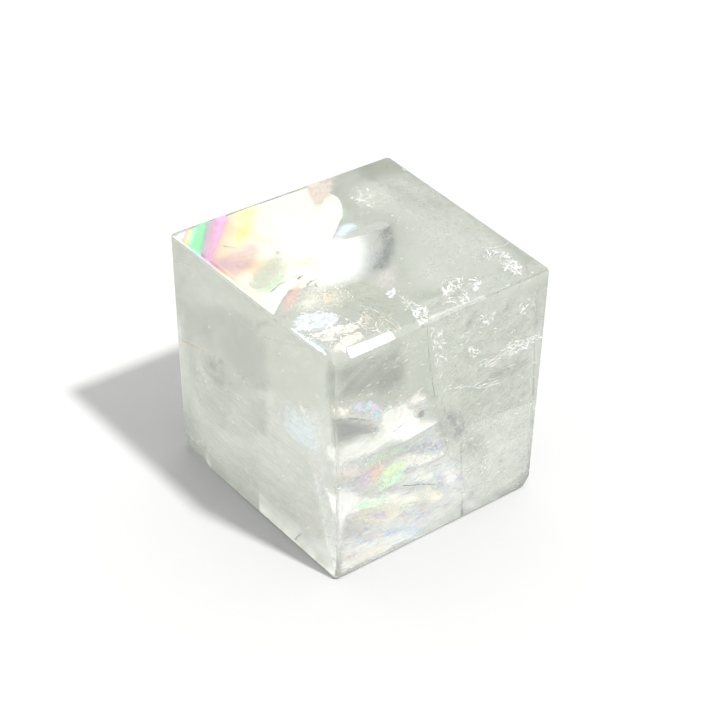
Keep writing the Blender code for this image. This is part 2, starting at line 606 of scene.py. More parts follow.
@dataclass(frozen=True)
class HairlineFinish:
    """A fine crack's dark, unevenly filled line."""

    colour: Colour = (0.10, 0.10, 0.08)
    cover: float = 0.8
    strength: float = 0.8

    def material(self, name: str, effects: Effects) -> bpy.types.Material:
        """Return the line's material."""
        material, tree, shader = new_material(name)
        place = local_place(tree)
        gaps = effects.patches.place(tree, Vector=place, Grain=900.0, Cover=self.cover,
                                     Softness=0.3, Detail=2.0)
        soot = tree.noise(place, 1500.0, 2.0, 0.5)
        worn = tuple(2.0 * c for c in self.colour)
        tone = tree.blend(soot.outputs[0], self.colour, worn)
        tree.feed(shader, Base_Color=tone, Roughness=0.7,
                  Alpha=tree.math("MULTIPLY", gaps.outputs[0], self.strength))
        return material


Finish = FilmFinish | MistFinish | FlakeFinish | HairlineFinish


# The stone's faces and what is seen through them
# -----------------------------------------------

def link(name: str, mesh: bpy.types.Mesh) -> bpy.types.Object:
    """Put a mesh in the scene as an object at the origin."""
    piece = bpy.data.objects.new(name, mesh)
    bpy.context.scene.collection.objects.link(piece)
    return piece


def seal_in(piece: bpy.types.Object) -> bpy.types.Object:
    """Make a piece ride in the stone and log how many faces it has."""
    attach(piece, BODY)
    LOG.info("%s: %d faces", piece.name, len(piece.data.polygons))
    return piece


class Window(Enum):
    """A face of the stone that an inner mark is placed by, and the way that it looks.

    A mark has two measures in millimetres: along X and Y on the top, along Y and Z on the
    right side, and along X and Z on the front.
    """

    TOP = (0, 0, 1)
    RIGHT = (1, 0, 0)
    FRONT = (0, -1, 0)

    def mark(self, first: float, second: float) -> Vector:
        """Return the place of a mark, close to the face."""
        reach = 20.5
        if self is Window.TOP:
            return Vector((first, second, 2 * reach)) * MM
        if self is Window.RIGHT:
            return Vector((reach, first, second)) * MM
        return Vector((first, -reach, second)) * MM


USUAL_LIES = {
    Window.TOP: (0.02, 0.03, 1.0),
    Window.RIGHT: (0.8, -0.1, 0.6),
    Window.FRONT: (0.0, -0.6, 0.8),
}


class Hull:
    """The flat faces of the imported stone, which keep what is sealed in it inside."""

    SIDES = (Vector((0, 0, 1)), Vector((0, 0, -1)), Vector((0, -1, 0)), Vector((0, 1, 0)),
             Vector((1, 0, 0)), Vector((-1, 0, 0)))

    def __init__(self, node: bpy.types.Object) -> None:
        """Read the faces of a CAD node."""
        self.solid = self._merged(node)
        self.planes = [self.plane(side) for side in self.SIDES]

    @staticmethod
    def _merged(node: bpy.types.Object) -> bmesh.types.BMesh:
        """Return the node's triangles, merged into its flat faces."""
        bm = bmesh.new()
        bm.from_mesh(node.data)
        bmesh.ops.remove_doubles(bm, verts=bm.verts, dist=1e-6)
        bmesh.ops.dissolve_limit(bm, angle_limit=math.radians(0.05), verts=bm.verts, edges=bm.edges)
        bm.normal_update()
        return bm

    def plane(self, facing: Vector) -> tuple[Vector, Vector]:
        """Return a point on, and the normal of, the largest face that looks one way."""
        near = [face for face in self.solid.faces if face.normal.dot(facing) > 0.9]
        face = max(near, key=lambda item: item.calc_area())
        return face.calc_center_median(), face.normal.copy()

    def trim(self, bm: bmesh.types.BMesh, inset: float) -> None:
        """Cut away what lies outside the stone, or within inset of its faces."""
        for point, normal in self.planes:
            geometry = bm.verts[:] + bm.edges[:] + bm.faces[:]
            bmesh.ops.bisect_plane(bm, geom=geometry, dist=1e-8, plane_co=point - normal * inset,
                                   plane_no=normal, clear_outer=True)

    def drawn_in(self, place: Vector, inset: float, facing: Vector) -> Vector:
        """Return a place, moved to lie inset under each face but the one that looks one way."""
        for point, normal in self.planes:
            over = (place - point).dot(normal) + inset
            if over > 0 and normal.dot(facing) < 0.9:
                place = place - normal * over
        return place

    def depths(self, places: np.ndarray) -> np.ndarray:
        """Return how far under the nearest face each place lies."""
        far = [(np.array(point) - places) @ np.array(normal) for point, normal in self.planes]
        return np.min(far, axis=0)


class Sightline:
    """Where a mark that shows at a place on a face lies, once it is sunk to a deeper plane.

    Stone bends the line of sight, so a crack is drawn as it shows on the face, from the side
    that it is best seen from, and then sunk along the bent line.
    """

    def __init__(self, hull: Hull, eye: Vector) -> None:
        """Look at the stone from an eye point."""
        self.hull = hull
        self.eye = eye

    def sink(self, window: Window, mark: Vector, point: Vector, normal: Vector) -> Vector:
        """Follow the line of sight from a mark on a face to a plane inside the stone.

        Args:
            window: The face that the mark is on.
            mark: The mark.
            point: A point on the deeper plane.
            normal: The deeper plane's normal.

        Returns:
            The place on the deeper plane.
        """
        at, outward = self.hull.plane(Vector(window.value))
        mark = mark - outward * (mark - at).dot(outward)
        ray = (mark - self.eye).normalized()
        along = -ray.dot(outward)
        ratio = 1.0 / CALCITE_IOR
        bend = ratio * along - math.sqrt(1.0 - ratio * ratio * (1.0 - along * along))
        inside = (ray * ratio + outward * bend).normalized()
        travel = (point - mark).dot(normal) / inside.dot(normal)
        return mark + inside * travel

    def sunk(self, window: Window, marks: Sequence[Mark], point: Vector, normal: Vector) -> list[Vector]:
        """Return the places of a row of marks once they are sunk to a deeper plane."""
        return [self.sink(window, window.mark(*mark), point, normal) for mark in marks]

    def behind(self, window: Window, depth: float) -> tuple[Vector, Vector]:
        """Return a point on, and the normal of, the plane that lies depth mm behind a window."""
        point, normal = self.hull.plane(Vector(window.value))
        return point - normal * depth * MM, normal


@dataclass(frozen=True)
class Workshop:
    """What every inner piece is made with."""

    hull: Hull
    sight: Sightline
    effects: Effects


# Sheets: cracks and mists
# ------------------------

def roughened(outline: Sequence[Vector], step: float, raggedness: float, seed: int) -> list[Vector]:
    """Return a closed flat outline cut into short steps and made ragged.

    Args:
        outline: The outline's corners, in plane coordinates.
        step: The length of a step.
        raggedness: How far a step may stray.
        seed: Which ragged edge to draw.

    Returns:
        The ragged outline.
    """
    result = []
    for start, end in zip(outline, [*outline[1:], outline[0]]):
        count = max(1, round((end - start).length / step))
        for index in range(count):
            spot = start.lerp(end, index / count)
            probe = Vector((spot.x, spot.y, seed * 0.013)) * 700.0
            stray = Vector((noise.noise(probe), noise.noise(probe + Vector((9.1, 3.7, 0.0)))))
            fine = Vector((noise.noise(probe * 3.3), noise.noise(probe * 3.3 + Vector((5.0, 0.0, 0.0)))))
            result.append(spot + (stray + fine * 0.5) * raggedness)
    return result


def filled(outline: Sequence[Vector], cell: float, rng: random.Random) -> tuple[list, list]:
    """Fill a flat outline with small triangles.

    Args:
        outline: The outline, in plane coordinates.
        cell: The size of a triangle.
        rng: Scatters the inner corners a little.

    Returns:
        The corners and the triangles.
    """
    xs = [p.x for p in outline]
    ys = [p.y for p in outline]
    points = [Vector((p.x, p.y)) for p in outline]
    edges = [(i, (i + 1) % len(outline)) for i in range(len(outline))]
    nudge = 0.35 * cell
    for column in range(int((max(xs) - min(xs)) / cell) + 1):
        for row in range(int((max(ys) - min(ys)) / cell) + 1):
            points.append(Vector((min(xs) + (column + 0.5) * cell + rng.uniform(-nudge, nudge),
                                  min(ys) + (row + 0.5) * cell + rng.uniform(-nudge, nudge))))
    verts, _, faces, *_ = delaunay_2d_cdt(points, edges, [], 1, 1e-7)
    return verts, faces


def rim_distances(places: np.ndarray, outline: Sequence[Vector]) -> np.ndarray:
    """Return each flat place's distance to a closed outline."""
    result = np.full(len(places), np.inf)
    for start, end in zip(outline, [*outline[1:], outline[0]]):
        a, b = np.array(start), np.array(end)
        run = b - a
        share = np.clip((places - a) @ run / max(run @ run, 1e-18), 0.0, 1.0)
        gap = np.linalg.norm(places - (a + share[:, None] * run), axis=1)
        result = np.minimum(result, gap)
    return result


@dataclass(frozen=True)
class Leaf:
    """How the surface of a sheet runs: cell size, ragged edge and gentle ripple, in millimetres."""

    cell: float = 0.7
    raggedness: float = 0.4
    ripple: float = 0.05
    wavelength: float = 6.0
    crumpled: bool = False
    seed: int = 1


SMALL_LEAF = Leaf(cell=0.5, raggedness=0.3, ripple=0.05, wavelength=3.0)
BROAD_LEAF = Leaf()
EVEN_LEAF = Leaf(cell=0.7, raggedness=0.1, ripple=0.03)
CRUMPLED_LEAF = Leaf(cell=0.45, raggedness=0.4, ripple=0.14, wavelength=1.2, crumpled=True)


def sheet_mesh(name: str, corners: Sequence[Vector], normal: Vector, leaf: Leaf,
               hull: Hull) -> bpy.types.Mesh:
    """Return a ragged, rippled sheet inside the stone.

    The distance to the sheet's rim is kept on its points, under the name rim.

    Args:
        name: The mesh's name.
        corners: The corners of the sheet's outline, all on one plane.
        normal: That plane's normal.
        leaf: How the surface runs.
        hull: Keeps the sheet inside the stone.

    Returns:
        The mesh.
    """
    point = corners[0]
    turn = normal.to_track_quat("Z", "Y").to_matrix()
    back = turn.transposed()
    outline = roughened([Vector((back @ (corner - point)).xy) for corner in corners],
                        leaf.cell * 0.8 * MM, leaf.raggedness * MM, leaf.seed)
    verts, faces = filled(outline, leaf.cell * MM, random.Random(leaf.seed))
    bm = bmesh.new()
    lifted = []
    for v in verts:
        place = point + turn @ Vector((v.x, v.y, 0.0))
        probe = place / (leaf.wavelength * MM) + Vector((0.0, 0.0, leaf.seed * 7.7))
        lift = noise.noise(probe) + 0.4 * noise.noise(probe * 2.7)
        lifted.append(bm.verts.new(place + normal * lift * leaf.ripple * MM))
    for face in faces:
        bm.faces.new([lifted[i] for i in face])
    hull.trim(bm, SKIN * MM)
    flat = np.array([(back @ (v.co - point)).xy for v in bm.verts])
    rims = rim_distances(flat, outline)
    mesh = bpy.data.meshes.new(name)
    bm.to_mesh(mesh)
    bm.free()
    mesh.attributes.new("rim", "FLOAT", "POINT").data.foreach_set("value", rims.astype(np.float32))
    if not leaf.crumpled:
        mesh.shade_smooth()
    return mesh


@dataclass(frozen=True)
class Veil:
    """One crack or mist whose outline is drawn as it shows through a window.

    marks are the outline's corners on the window and through is a point of the sheet's plane,
    all in millimetres. A sheet with no normal of its own lies as is usual behind its window.
    """

    name: str
    window: Window
    through: Point
    marks: tuple[Mark, ...]
    finish: Finish
    normal: Point | None = None
    leaf: Leaf = SMALL_LEAF

    def build(self, shop: Workshop) -> bpy.types.Object:
        """Build, dress and seal in the sheet."""
        normal = Vector(self.normal or USUAL_LIES[self.window]).normalized()
        corners = shop.sight.sunk(self.window, self.marks, Vector(self.through) * MM, normal)
        mesh = sheet_mesh(self.name, corners, normal, self.leaf, shop.hull)
        mesh.materials.append(self.finish.material(self.name + "_finish", shop.effects))
        return seal_in(link(self.name, mesh))


@dataclass(frozen=True)
class MistStack:
    """Several cloudy cleavage planes, one behind another, across part of the stone.

    start is the middle of the first plane, step leads from each plane to the next and sides
    are the lengths of a plane's two sides, in millimetres.
    """

    name: str
    start: Point
    step: Point
    count: int
    normal: Point
    sides: tuple[float, float]
    finish: MistFinish
    seed: int = 1

    def build(self, shop: Workshop) -> bpy.types.Object:
        """Build the planes as one piece, dress and seal it in."""
        normal = Vector(self.normal).normalized()
        turn = normal.to_track_quat("Z", "Y").to_matrix()
        bm = bmesh.new()
        rims = []
        for index in range(self.count):
            middle = (Vector(self.start) + Vector(self.step) * index) * MM
            half = Vector(self.sides) * (MM / 2)
            corners = [middle + turn @ Vector((x * half.x, y * half.y, 0.0))
                       for x, y in ((-1, -1), (1, -1), (1, 1), (-1, 1))]
            leaf = Leaf(cell=1.4, raggedness=1.5, ripple=0.5, wavelength=14.0,
                        seed=self.seed + index)
            sheet = sheet_mesh(self.name, corners, normal, leaf, shop.hull)
            rim = np.zeros(len(sheet.vertices), dtype=np.float32)
            sheet.attributes["rim"].data.foreach_get("value", rim)
            places = np.array([v.co for v in sheet.vertices])
            rims.append(np.minimum(rim, shop.hull.depths(places)))
            bm.from_mesh(sheet)
            bpy.data.meshes.remove(sheet)
        mesh = bpy.data.meshes.new(self.name)
        bm.to_mesh(mesh)
        bm.free()
        mesh.attributes["rim"].data.foreach_set("value", np.concatenate(rims).astype(np.float32))
        mesh.shade_smooth()
        mesh.materials.append(self.finish.material(self.name + "_finish", shop.effects))
        return seal_in(link(self.name, mesh))


# Geometry trees: flakes strewn on a sheet, and lines drawn along a path
# ----------------------------------------------------------------------

class Recipe(Tree):
    """A geometry tree with named inputs, and a way to run it on a piece."""

    def __init__(self, name: str, inputs: dict[str, tuple[str, object]]) -> None:
        """Open a new tree.

        Args:
            name: The tree's name.
            inputs: Each input's socket type and default, or None for no default.
        """
        super().__init__(bpy.data.node_groups.new(name, "GeometryNodeTree"))
        face = self.tree.interface
        face.new_socket("Geometry", in_out="INPUT", socket_type="NodeSocketGeometry")
        face.new_socket("Geometry", in_out="OUTPUT", socket_type="NodeSocketGeometry")
        self.sockets = {}
        for label, (kind, default) in inputs.items():
            socket = face.new_socket(label, in_out="INPUT", socket_type=kind)
            if default is not None:
                socket.default_value = default
            self.sockets[label] = socket.identifier
        self.given = self.add("NodeGroupInput").outputs
        self.result = self.add("NodeGroupOutput")

    def finish(self, geometry: bpy.types.NodeSocket) -> None:
        """Realize the instances, give them the material and end the tree."""
        real = self.feed(self.add("GeometryNodeRealizeInstances"), Geometry=geometry)
        dressed = self.feed(self.add("GeometryNodeSetMaterial"), Geometry=real.outputs[0],
                            Material=self.given["Material"])
        self.put(self.result.inputs["Geometry"], dressed.outputs[0])

    def run(self, piece: bpy.types.Object, **values: object) -> None:
        """Run the tree on a piece and keep the result as its plain mesh.

        Args:
            piece: The piece whose mesh the tree starts from.
            **values: A value for each input, with _ for each space.
        """
        modifier = piece.modifiers.new("recipe", "NODES")
        modifier.node_group = self.tree
        for label, value in values.items():
            modifier[self.sockets[label.replace("_", " ")]] = value
        graph = bpy.context.evaluated_depsgraph_get()
        mesh = bpy.data.meshes.new_from_object(piece.evaluated_get(graph))
        mesh.name = piece.name
        piece.modifiers.remove(modifier)
        piece.data = mesh


def strewing() -> Recipe:
    """Return the tree that strews small flakes over a sheet, each leaning its own way."""
    recipe = Recipe("strewn_flakes", {
        "Density": ("NodeSocketFloat", 1e6),
        "Length": ("NodeSocketFloat", 0.0006),
        "Width": ("NodeSocketFloat", 0.0002),
        "Lean": ("NodeSocketFloat", 0.5),
        "Heading": ("NodeSocketFloat", 0.0),
        "Twist": ("NodeSocketFloat", math.pi),
        "Facing": ("NodeSocketVector", (0.0, 0.0, 1.0)),
        "Seed": ("NodeSocketInt", 0),
        "Material": ("NodeSocketMaterial", None),
    })
    given = recipe.given
    spots = recipe.feed(recipe.add("GeometryNodeDistributePointsOnFaces"), Mesh=given["Geometry"],
                        Density=given["Density"], Seed=given["Seed"])
    shape = recipe.add("GeometryNodeMeshCircle", fill_type="NGON")
    recipe.feed(shape, Vertices=5, Radius=0.5)
    lean = recipe.add("FunctionNodeRandomValue", data_type="FLOAT_VECTOR")
    for socket, side in zip(lean.inputs, ("SUBTRACT", "ADD")):
        limit = recipe.add("ShaderNodeCombineXYZ")
        tip = recipe.math(side, 0.0, given["Lean"])
        recipe.feed(limit, X=tip, Y=tip, Z=recipe.math(side, given["Heading"], given["Twist"]))
        recipe.put(socket, limit.outputs[0])
    recipe.feed(lean, Seed=given["Seed"])
    share = recipe.add("FunctionNodeRandomValue", data_type="FLOAT")
    recipe.put(share.inputs[2], 0.0)
    recipe.put(share.inputs[3], 1.0)
    size = recipe.math("ADD", recipe.math("POWER", share.outputs[1], 3.0), 0.25)
    scale = recipe.add("ShaderNodeCombineXYZ")
    recipe.feed(scale, X=recipe.math("MULTIPLY", size, given["Length"]),
                Y=recipe.math("MULTIPLY", size, given["Width"]), Z=0.001)
    facing = recipe.add("FunctionNodeAlignRotationToVector", axis="Z")
    recipe.feed(facing, Vector=given["Facing"])
    strewn = recipe.add("GeometryNodeInstanceOnPoints")
    recipe.feed(strewn, Points=spots.outputs["Points"], Instance=shape.outputs[0],
                Rotation=facing.outputs[0], Scale=scale.outputs[0])
    turned = recipe.add("GeometryNodeRotateInstances")
    recipe.feed(turned, Instances=strewn.outputs[0], Rotation=lean.outputs[0])
    recipe.finish(turned.outputs[0])
    return recipe


def drawing() -> Recipe:
    """Return the tree that draws an uneven thread along each path of a wire mesh."""
    recipe = Recipe("drawn_thread", {
        "Width": ("NodeSocketFloat", 0.0001),
        "Wander": ("NodeSocketFloat", 0.0002),
        "Seed": ("NodeSocketFloat", 0.0),
        "Material": ("NodeSocketMaterial", None),
    })
    given = recipe.given
    path = recipe.feed(recipe.add("GeometryNodeMeshToCurve"), Mesh=given["Geometry"])
    fine = recipe.add("GeometryNodeResampleCurve", mode="LENGTH")
    recipe.feed(fine, Curve=path.outputs[0], Length=0.00025)
    place = recipe.add("GeometryNodeInputPosition")
    stray = recipe.add("ShaderNodeTexNoise", noise_dimensions="4D")
    recipe.feed(stray, Vector=place.outputs[0], W=given["Seed"], Scale=900.0, Detail=3.0)
    centred = recipe.vector("SUBTRACT", stray.outputs["Color"], (0.5, 0.5, 0.5))
    shift = recipe.vector("SCALE", centred.outputs[0], scale=given["Wander"])
    moved = recipe.feed(recipe.add("GeometryNodeSetPosition"), Geometry=fine.outputs[0],
                        Offset=shift.outputs[0])
    swell = recipe.add("ShaderNodeTexNoise")
    recipe.feed(swell, Vector=place.outputs[0], Scale=1300.0, Detail=2.0)
    width = recipe.math("MULTIPLY", recipe.remap(swell.outputs[0], 0.35, 0.65, 0.2, 1.0), given["Width"])
    thick = recipe.feed(recipe.add("GeometryNodeSetCurveRadius"), Curve=moved.outputs[0], Radius=width)
    ring = recipe.add("GeometryNodeCurvePrimitiveCircle")
    recipe.feed(ring, Resolution=4, Radius=0.5)
    tube = recipe.add("GeometryNodeCurveToMesh")
    recipe.feed(tube, Curve=thick.outputs[0], Profile_Curve=ring.outputs[0], Fill_Caps=True)
    if "Scale" in tube.inputs:
        radius = recipe.add("GeometryNodeInputRadius")
        recipe.put(tube.inputs["Scale"], radius.outputs[0])
    recipe.finish(tube.outputs[0])
    return recipe


@dataclass(frozen=True)
class Recipes:
    """The geometry trees that the flakes and threads are made by."""

    strew: Recipe
    draw: Recipe

    @classmethod
    def make(cls) -> "Recipes":
        """Build the trees once."""
        return cls(strewing(), drawing())


@dataclass(frozen=True)
class FlakeDrift:
    """A drift of bright cleavage flakes on a plane just behind a window, tipped to the light.

    marks outline the drift on the window, depth is how far behind it the drift lies and length
    and width are the sizes of its largest flakes, in millimetres. Density is flakes for each
    square millimetre, lean the most that a flake turns out of the plane, heading the way that it
    points and twist how far it may stray from that, in radians.
    """

    name: str
    window: Window
    depth: float
    marks: tuple[Mark, ...]
    density: float
    length: float = 0.8
    width: float = 0.25
    lean: float = 0.5
    heading: float = 0.0
    twist: float = math.pi
    seed: int = 1
    finish: FlakeFinish = FlakeFinish()

    def build(self, shop: Workshop, recipes: Recipes) -> bpy.types.Object:
        """Strew, dress and seal in the flakes."""
        point, normal = shop.sight.behind(self.window, self.depth)
        corners = shop.sight.sunk(self.window, self.marks, point, normal)
        leaf = Leaf(cell=0.8, raggedness=0.8, ripple=0.5, wavelength=3.0, seed=self.seed)
        piece = link(self.name, sheet_mesh(self.name, corners, normal, leaf, shop.hull))
        recipes.strew.run(piece, Density=self.density / MM ** 2, Length=self.length * MM,
                          Width=self.width * MM, Lean=self.lean, Heading=self.heading,
                          Twist=self.twist, Seed=self.seed,
                          Facing=tuple(Vector(self.window.value) + Vector((0.2, 0.0, 0.9))),
                          Material=self.finish.material(self.name + "_finish", shop.effects))
        return seal_in(piece)


@dataclass(frozen=True)
class Thread:
    """Fine cracks seen edge-on, drawn as uneven threads just behind a window.

    Each path is a list of marks on the window; depth, width and wander are millimetres. No
    thread comes nearer than RIM to the stone's other faces.
    """

    RIM: ClassVar[float] = 0.45

    name: str
    window: Window
    depth: float
    paths: tuple[tuple[Mark, ...], ...]
    width: float
    wander: float = 0.3
    seed: float = 0.0
    finish: Finish = HairlineFinish()

    def build(self, shop: Workshop, recipes: Recipes) -> bpy.types.Object:
        """Draw, dress and seal in the threads."""
        point, normal = shop.sight.behind(self.window, self.depth)
        bm = bmesh.new()
        for path in self.paths:
            spots = [bm.verts.new(shop.hull.drawn_in(spot, self.RIM * MM, normal))
                     for spot in shop.sight.sunk(self.window, path, point, normal)]
            for start, end in zip(spots, spots[1:]):
                bm.edges.new((start, end))
        mesh = bpy.data.meshes.new(self.name)
        bm.to_mesh(mesh)
        bm.free()
        piece = link(self.name, mesh)
        recipes.draw.run(piece, Width=self.width * MM, Wander=self.wander * MM, Seed=self.seed,
                         Material=self.finish.material(self.name + "_finish", shop.effects))
        return seal_in(piece)


# The stone itself
# ----------------

@dataclass(frozen=True)
class StoneBody:
    """The clear stone, with ground arrises and small chips along them, in millimetres."""

    arris: float = 0.09
    chips_to_an_edge: int = 3
    chip_size: tuple[float, float] = (0.35, 0.9)
    chip_bite: float = 0.16
    seed: int = 11

    def edges(self, hull: Hull) -> list[tuple[Vector, Vector, Vector]]:
        """Return the long edges of the stone: both ends and the outward middle direction."""
        found = []
        for edge in hull.solid.edges:
            if edge.calc_length() < 0.02 or len(edge.link_faces) != 2:
                continue
            outward = (edge.link_faces[0].normal + edge.link_faces[1].normal).normalized()
            found.append((edge.verts[0].co.copy(), edge.verts[1].co.copy(), outward))
        return sorted(found, key=lambda item: tuple(round(c, 5) for c in item[0] + item[1]))

    def chip_cutters(self, hull: Hull) -> bpy.types.Object:
        """Return one piece that holds the small lumps that bite the chips out."""
        rng = random.Random(self.seed)
        bm = bmesh.new()
        for start, end, outward in self.edges(hull):
            for _ in range(self.chips_to_an_edge):
                radius = rng.uniform(*self.chip_size) * MM
                spot = start.lerp(end, rng.uniform(0.04, 0.96))
                middle = spot + outward * (radius - rng.uniform(0.4, 1.0) * self.chip_bite * MM)
                made = bmesh.ops.create_icosphere(bm, subdivisions=2, radius=radius,
                                                  matrix=Matrix.Translation(middle))
                for vert in made["verts"]:
                    vert.co += (vert.co - middle) * noise.noise(vert.co * 2200.0) * 0.25
        mesh = bpy.data.meshes.new("chip_cutters")
        bm.to_mesh(mesh)
        bm.free()
        mesh.polygons.foreach_set("material_index", [FROSTED] * len(mesh.polygons))
        return link("chip_cutters", mesh)

    def mesh(self, hull: Hull) -> bpy.types.Mesh:
        """Return the stone's mesh."""
        bm = hull.solid.copy()
        bmesh.ops.bevel(bm, geom=bm.edges[:] + bm.verts[:], offset=self.arris * MM, segments=1,
                        profile=0.6, affect="EDGES", clamp_overlap=True, material=FROSTED)
        bmesh.ops.recalc_face_normals(bm, faces=bm.faces)
        for face in bm.faces:
            if face.material_index == POLISHED and face.normal.y < -0.95:
                face.material_index = SATIN
            elif face.normal.y < -0.5 and face.normal.z < 0.5:
                face.material_index = FROSTED
        plain = bpy.data.meshes.new("stone")
        bm.to_mesh(plain)
        bm.free()
        stone = link("stone_blank", plain)
        cutters = self.chip_cutters(hull)
        bite = stone.modifiers.new("chips", "BOOLEAN")
        bite.operation = "DIFFERENCE"
        bite.solver = "EXACT"
        bite.use_self = True
        bite.object = cutters
        graph = bpy.context.evaluated_depsgraph_get()
        mesh = bpy.data.meshes.new_from_object(stone.evaluated_get(graph))
        for spent in (stone, cutters):
            bpy.data.objects.remove(spent, do_unlink=True)
        return mesh

    def build(self, hull: Hull) -> bpy.types.Object:
        """Build and dress the stone in place of its CAD node."""
        mesh = self.mesh(hull)
        mesh.materials.clear()
        mesh.materials.append(ClearStone("polished_calcite", 0.0, 0.02).material())
        mesh.materials.append(ClearStone("satin_calcite", 0.3, 0.06).material())
        mesh.materials.append(FrostedArris().material())
        stone = link("clear_stone", mesh)
        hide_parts(NODE)
        return seal_in(stone)


@dataclass(frozen=True)
class Bubble:
    """A round bubble of air behind the right side, with its middle and radius in millimetres."""

    middle: Point = (20.0, -18.98, 18.23)
    radius: float = 0.46

    def build(self) -> bpy.types.Object:
        """Build, dress and seal in the bubble."""
        bm = bmesh.new()
        bmesh.ops.create_icosphere(bm, subdivisions=4, radius=self.radius * MM)
        for vert in bm.verts:
            vert.co *= 1.0 + 0.06 * noise.noise(vert.co * 1800.0)
            vert.co += Vector(self.middle) * MM
        mesh = bpy.data.meshes.new("bubble")
        bm.to_mesh(mesh)
        bm.free()
        mesh.shade_smooth()
        material, tree, shader = new_material("bubble_air")
        film = tree.noise(local_place(tree), 1500.0, 2.0, 0.5)
        tint = tree.blend(film.outputs[0], (0.86, 0.93, 1.0), (1.0, 0.98, 0.94))
        tree.feed(shader, Base_Color=tint, Roughness=0.0, IOR=1.0 / CALCITE_IOR,
                  Transmission_Weight=1.0)
        mesh.materials.append(material)
        return seal_in(link("bubble", mesh))


# Studio
# ------

@dataclass(frozen=True)
class Softbox:
    """A light that shows only as a gleam: its direction, in degrees, width, height and power."""

    name: str
    azimuth: float
    elevation: float
    width: float
    height: float
    power: float

    def hang(self, distance: float = 1.4) -> bpy.types.Object:
        """Hang the softbox so that it faces the stone."""
        azimuth, elevation = math.radians(self.azimuth), math.radians(self.elevation)
        toward = Vector((math.cos(azimuth) * math.cos(elevation),
                         math.sin(azimuth) * math.cos(elevation), math.sin(elevation)))
        data = bpy.data.lights.new(self.name, "AREA")
        data.shape = "RECTANGLE"
        data.size = self.width
        data.size_y = self.height
        data.energy = self.power
        lamp = bpy.data.objects.new(self.name, data)
        lamp.location = toward * distance
        lamp.rotation_euler = toward.to_track_quat("Z", "Y").to_euler()
        lamp.visible_camera = False
        lamp.visible_diffuse = False
        lamp.visible_transmission = False
        bpy.context.scene.collection.objects.link(lamp)
        return lamp


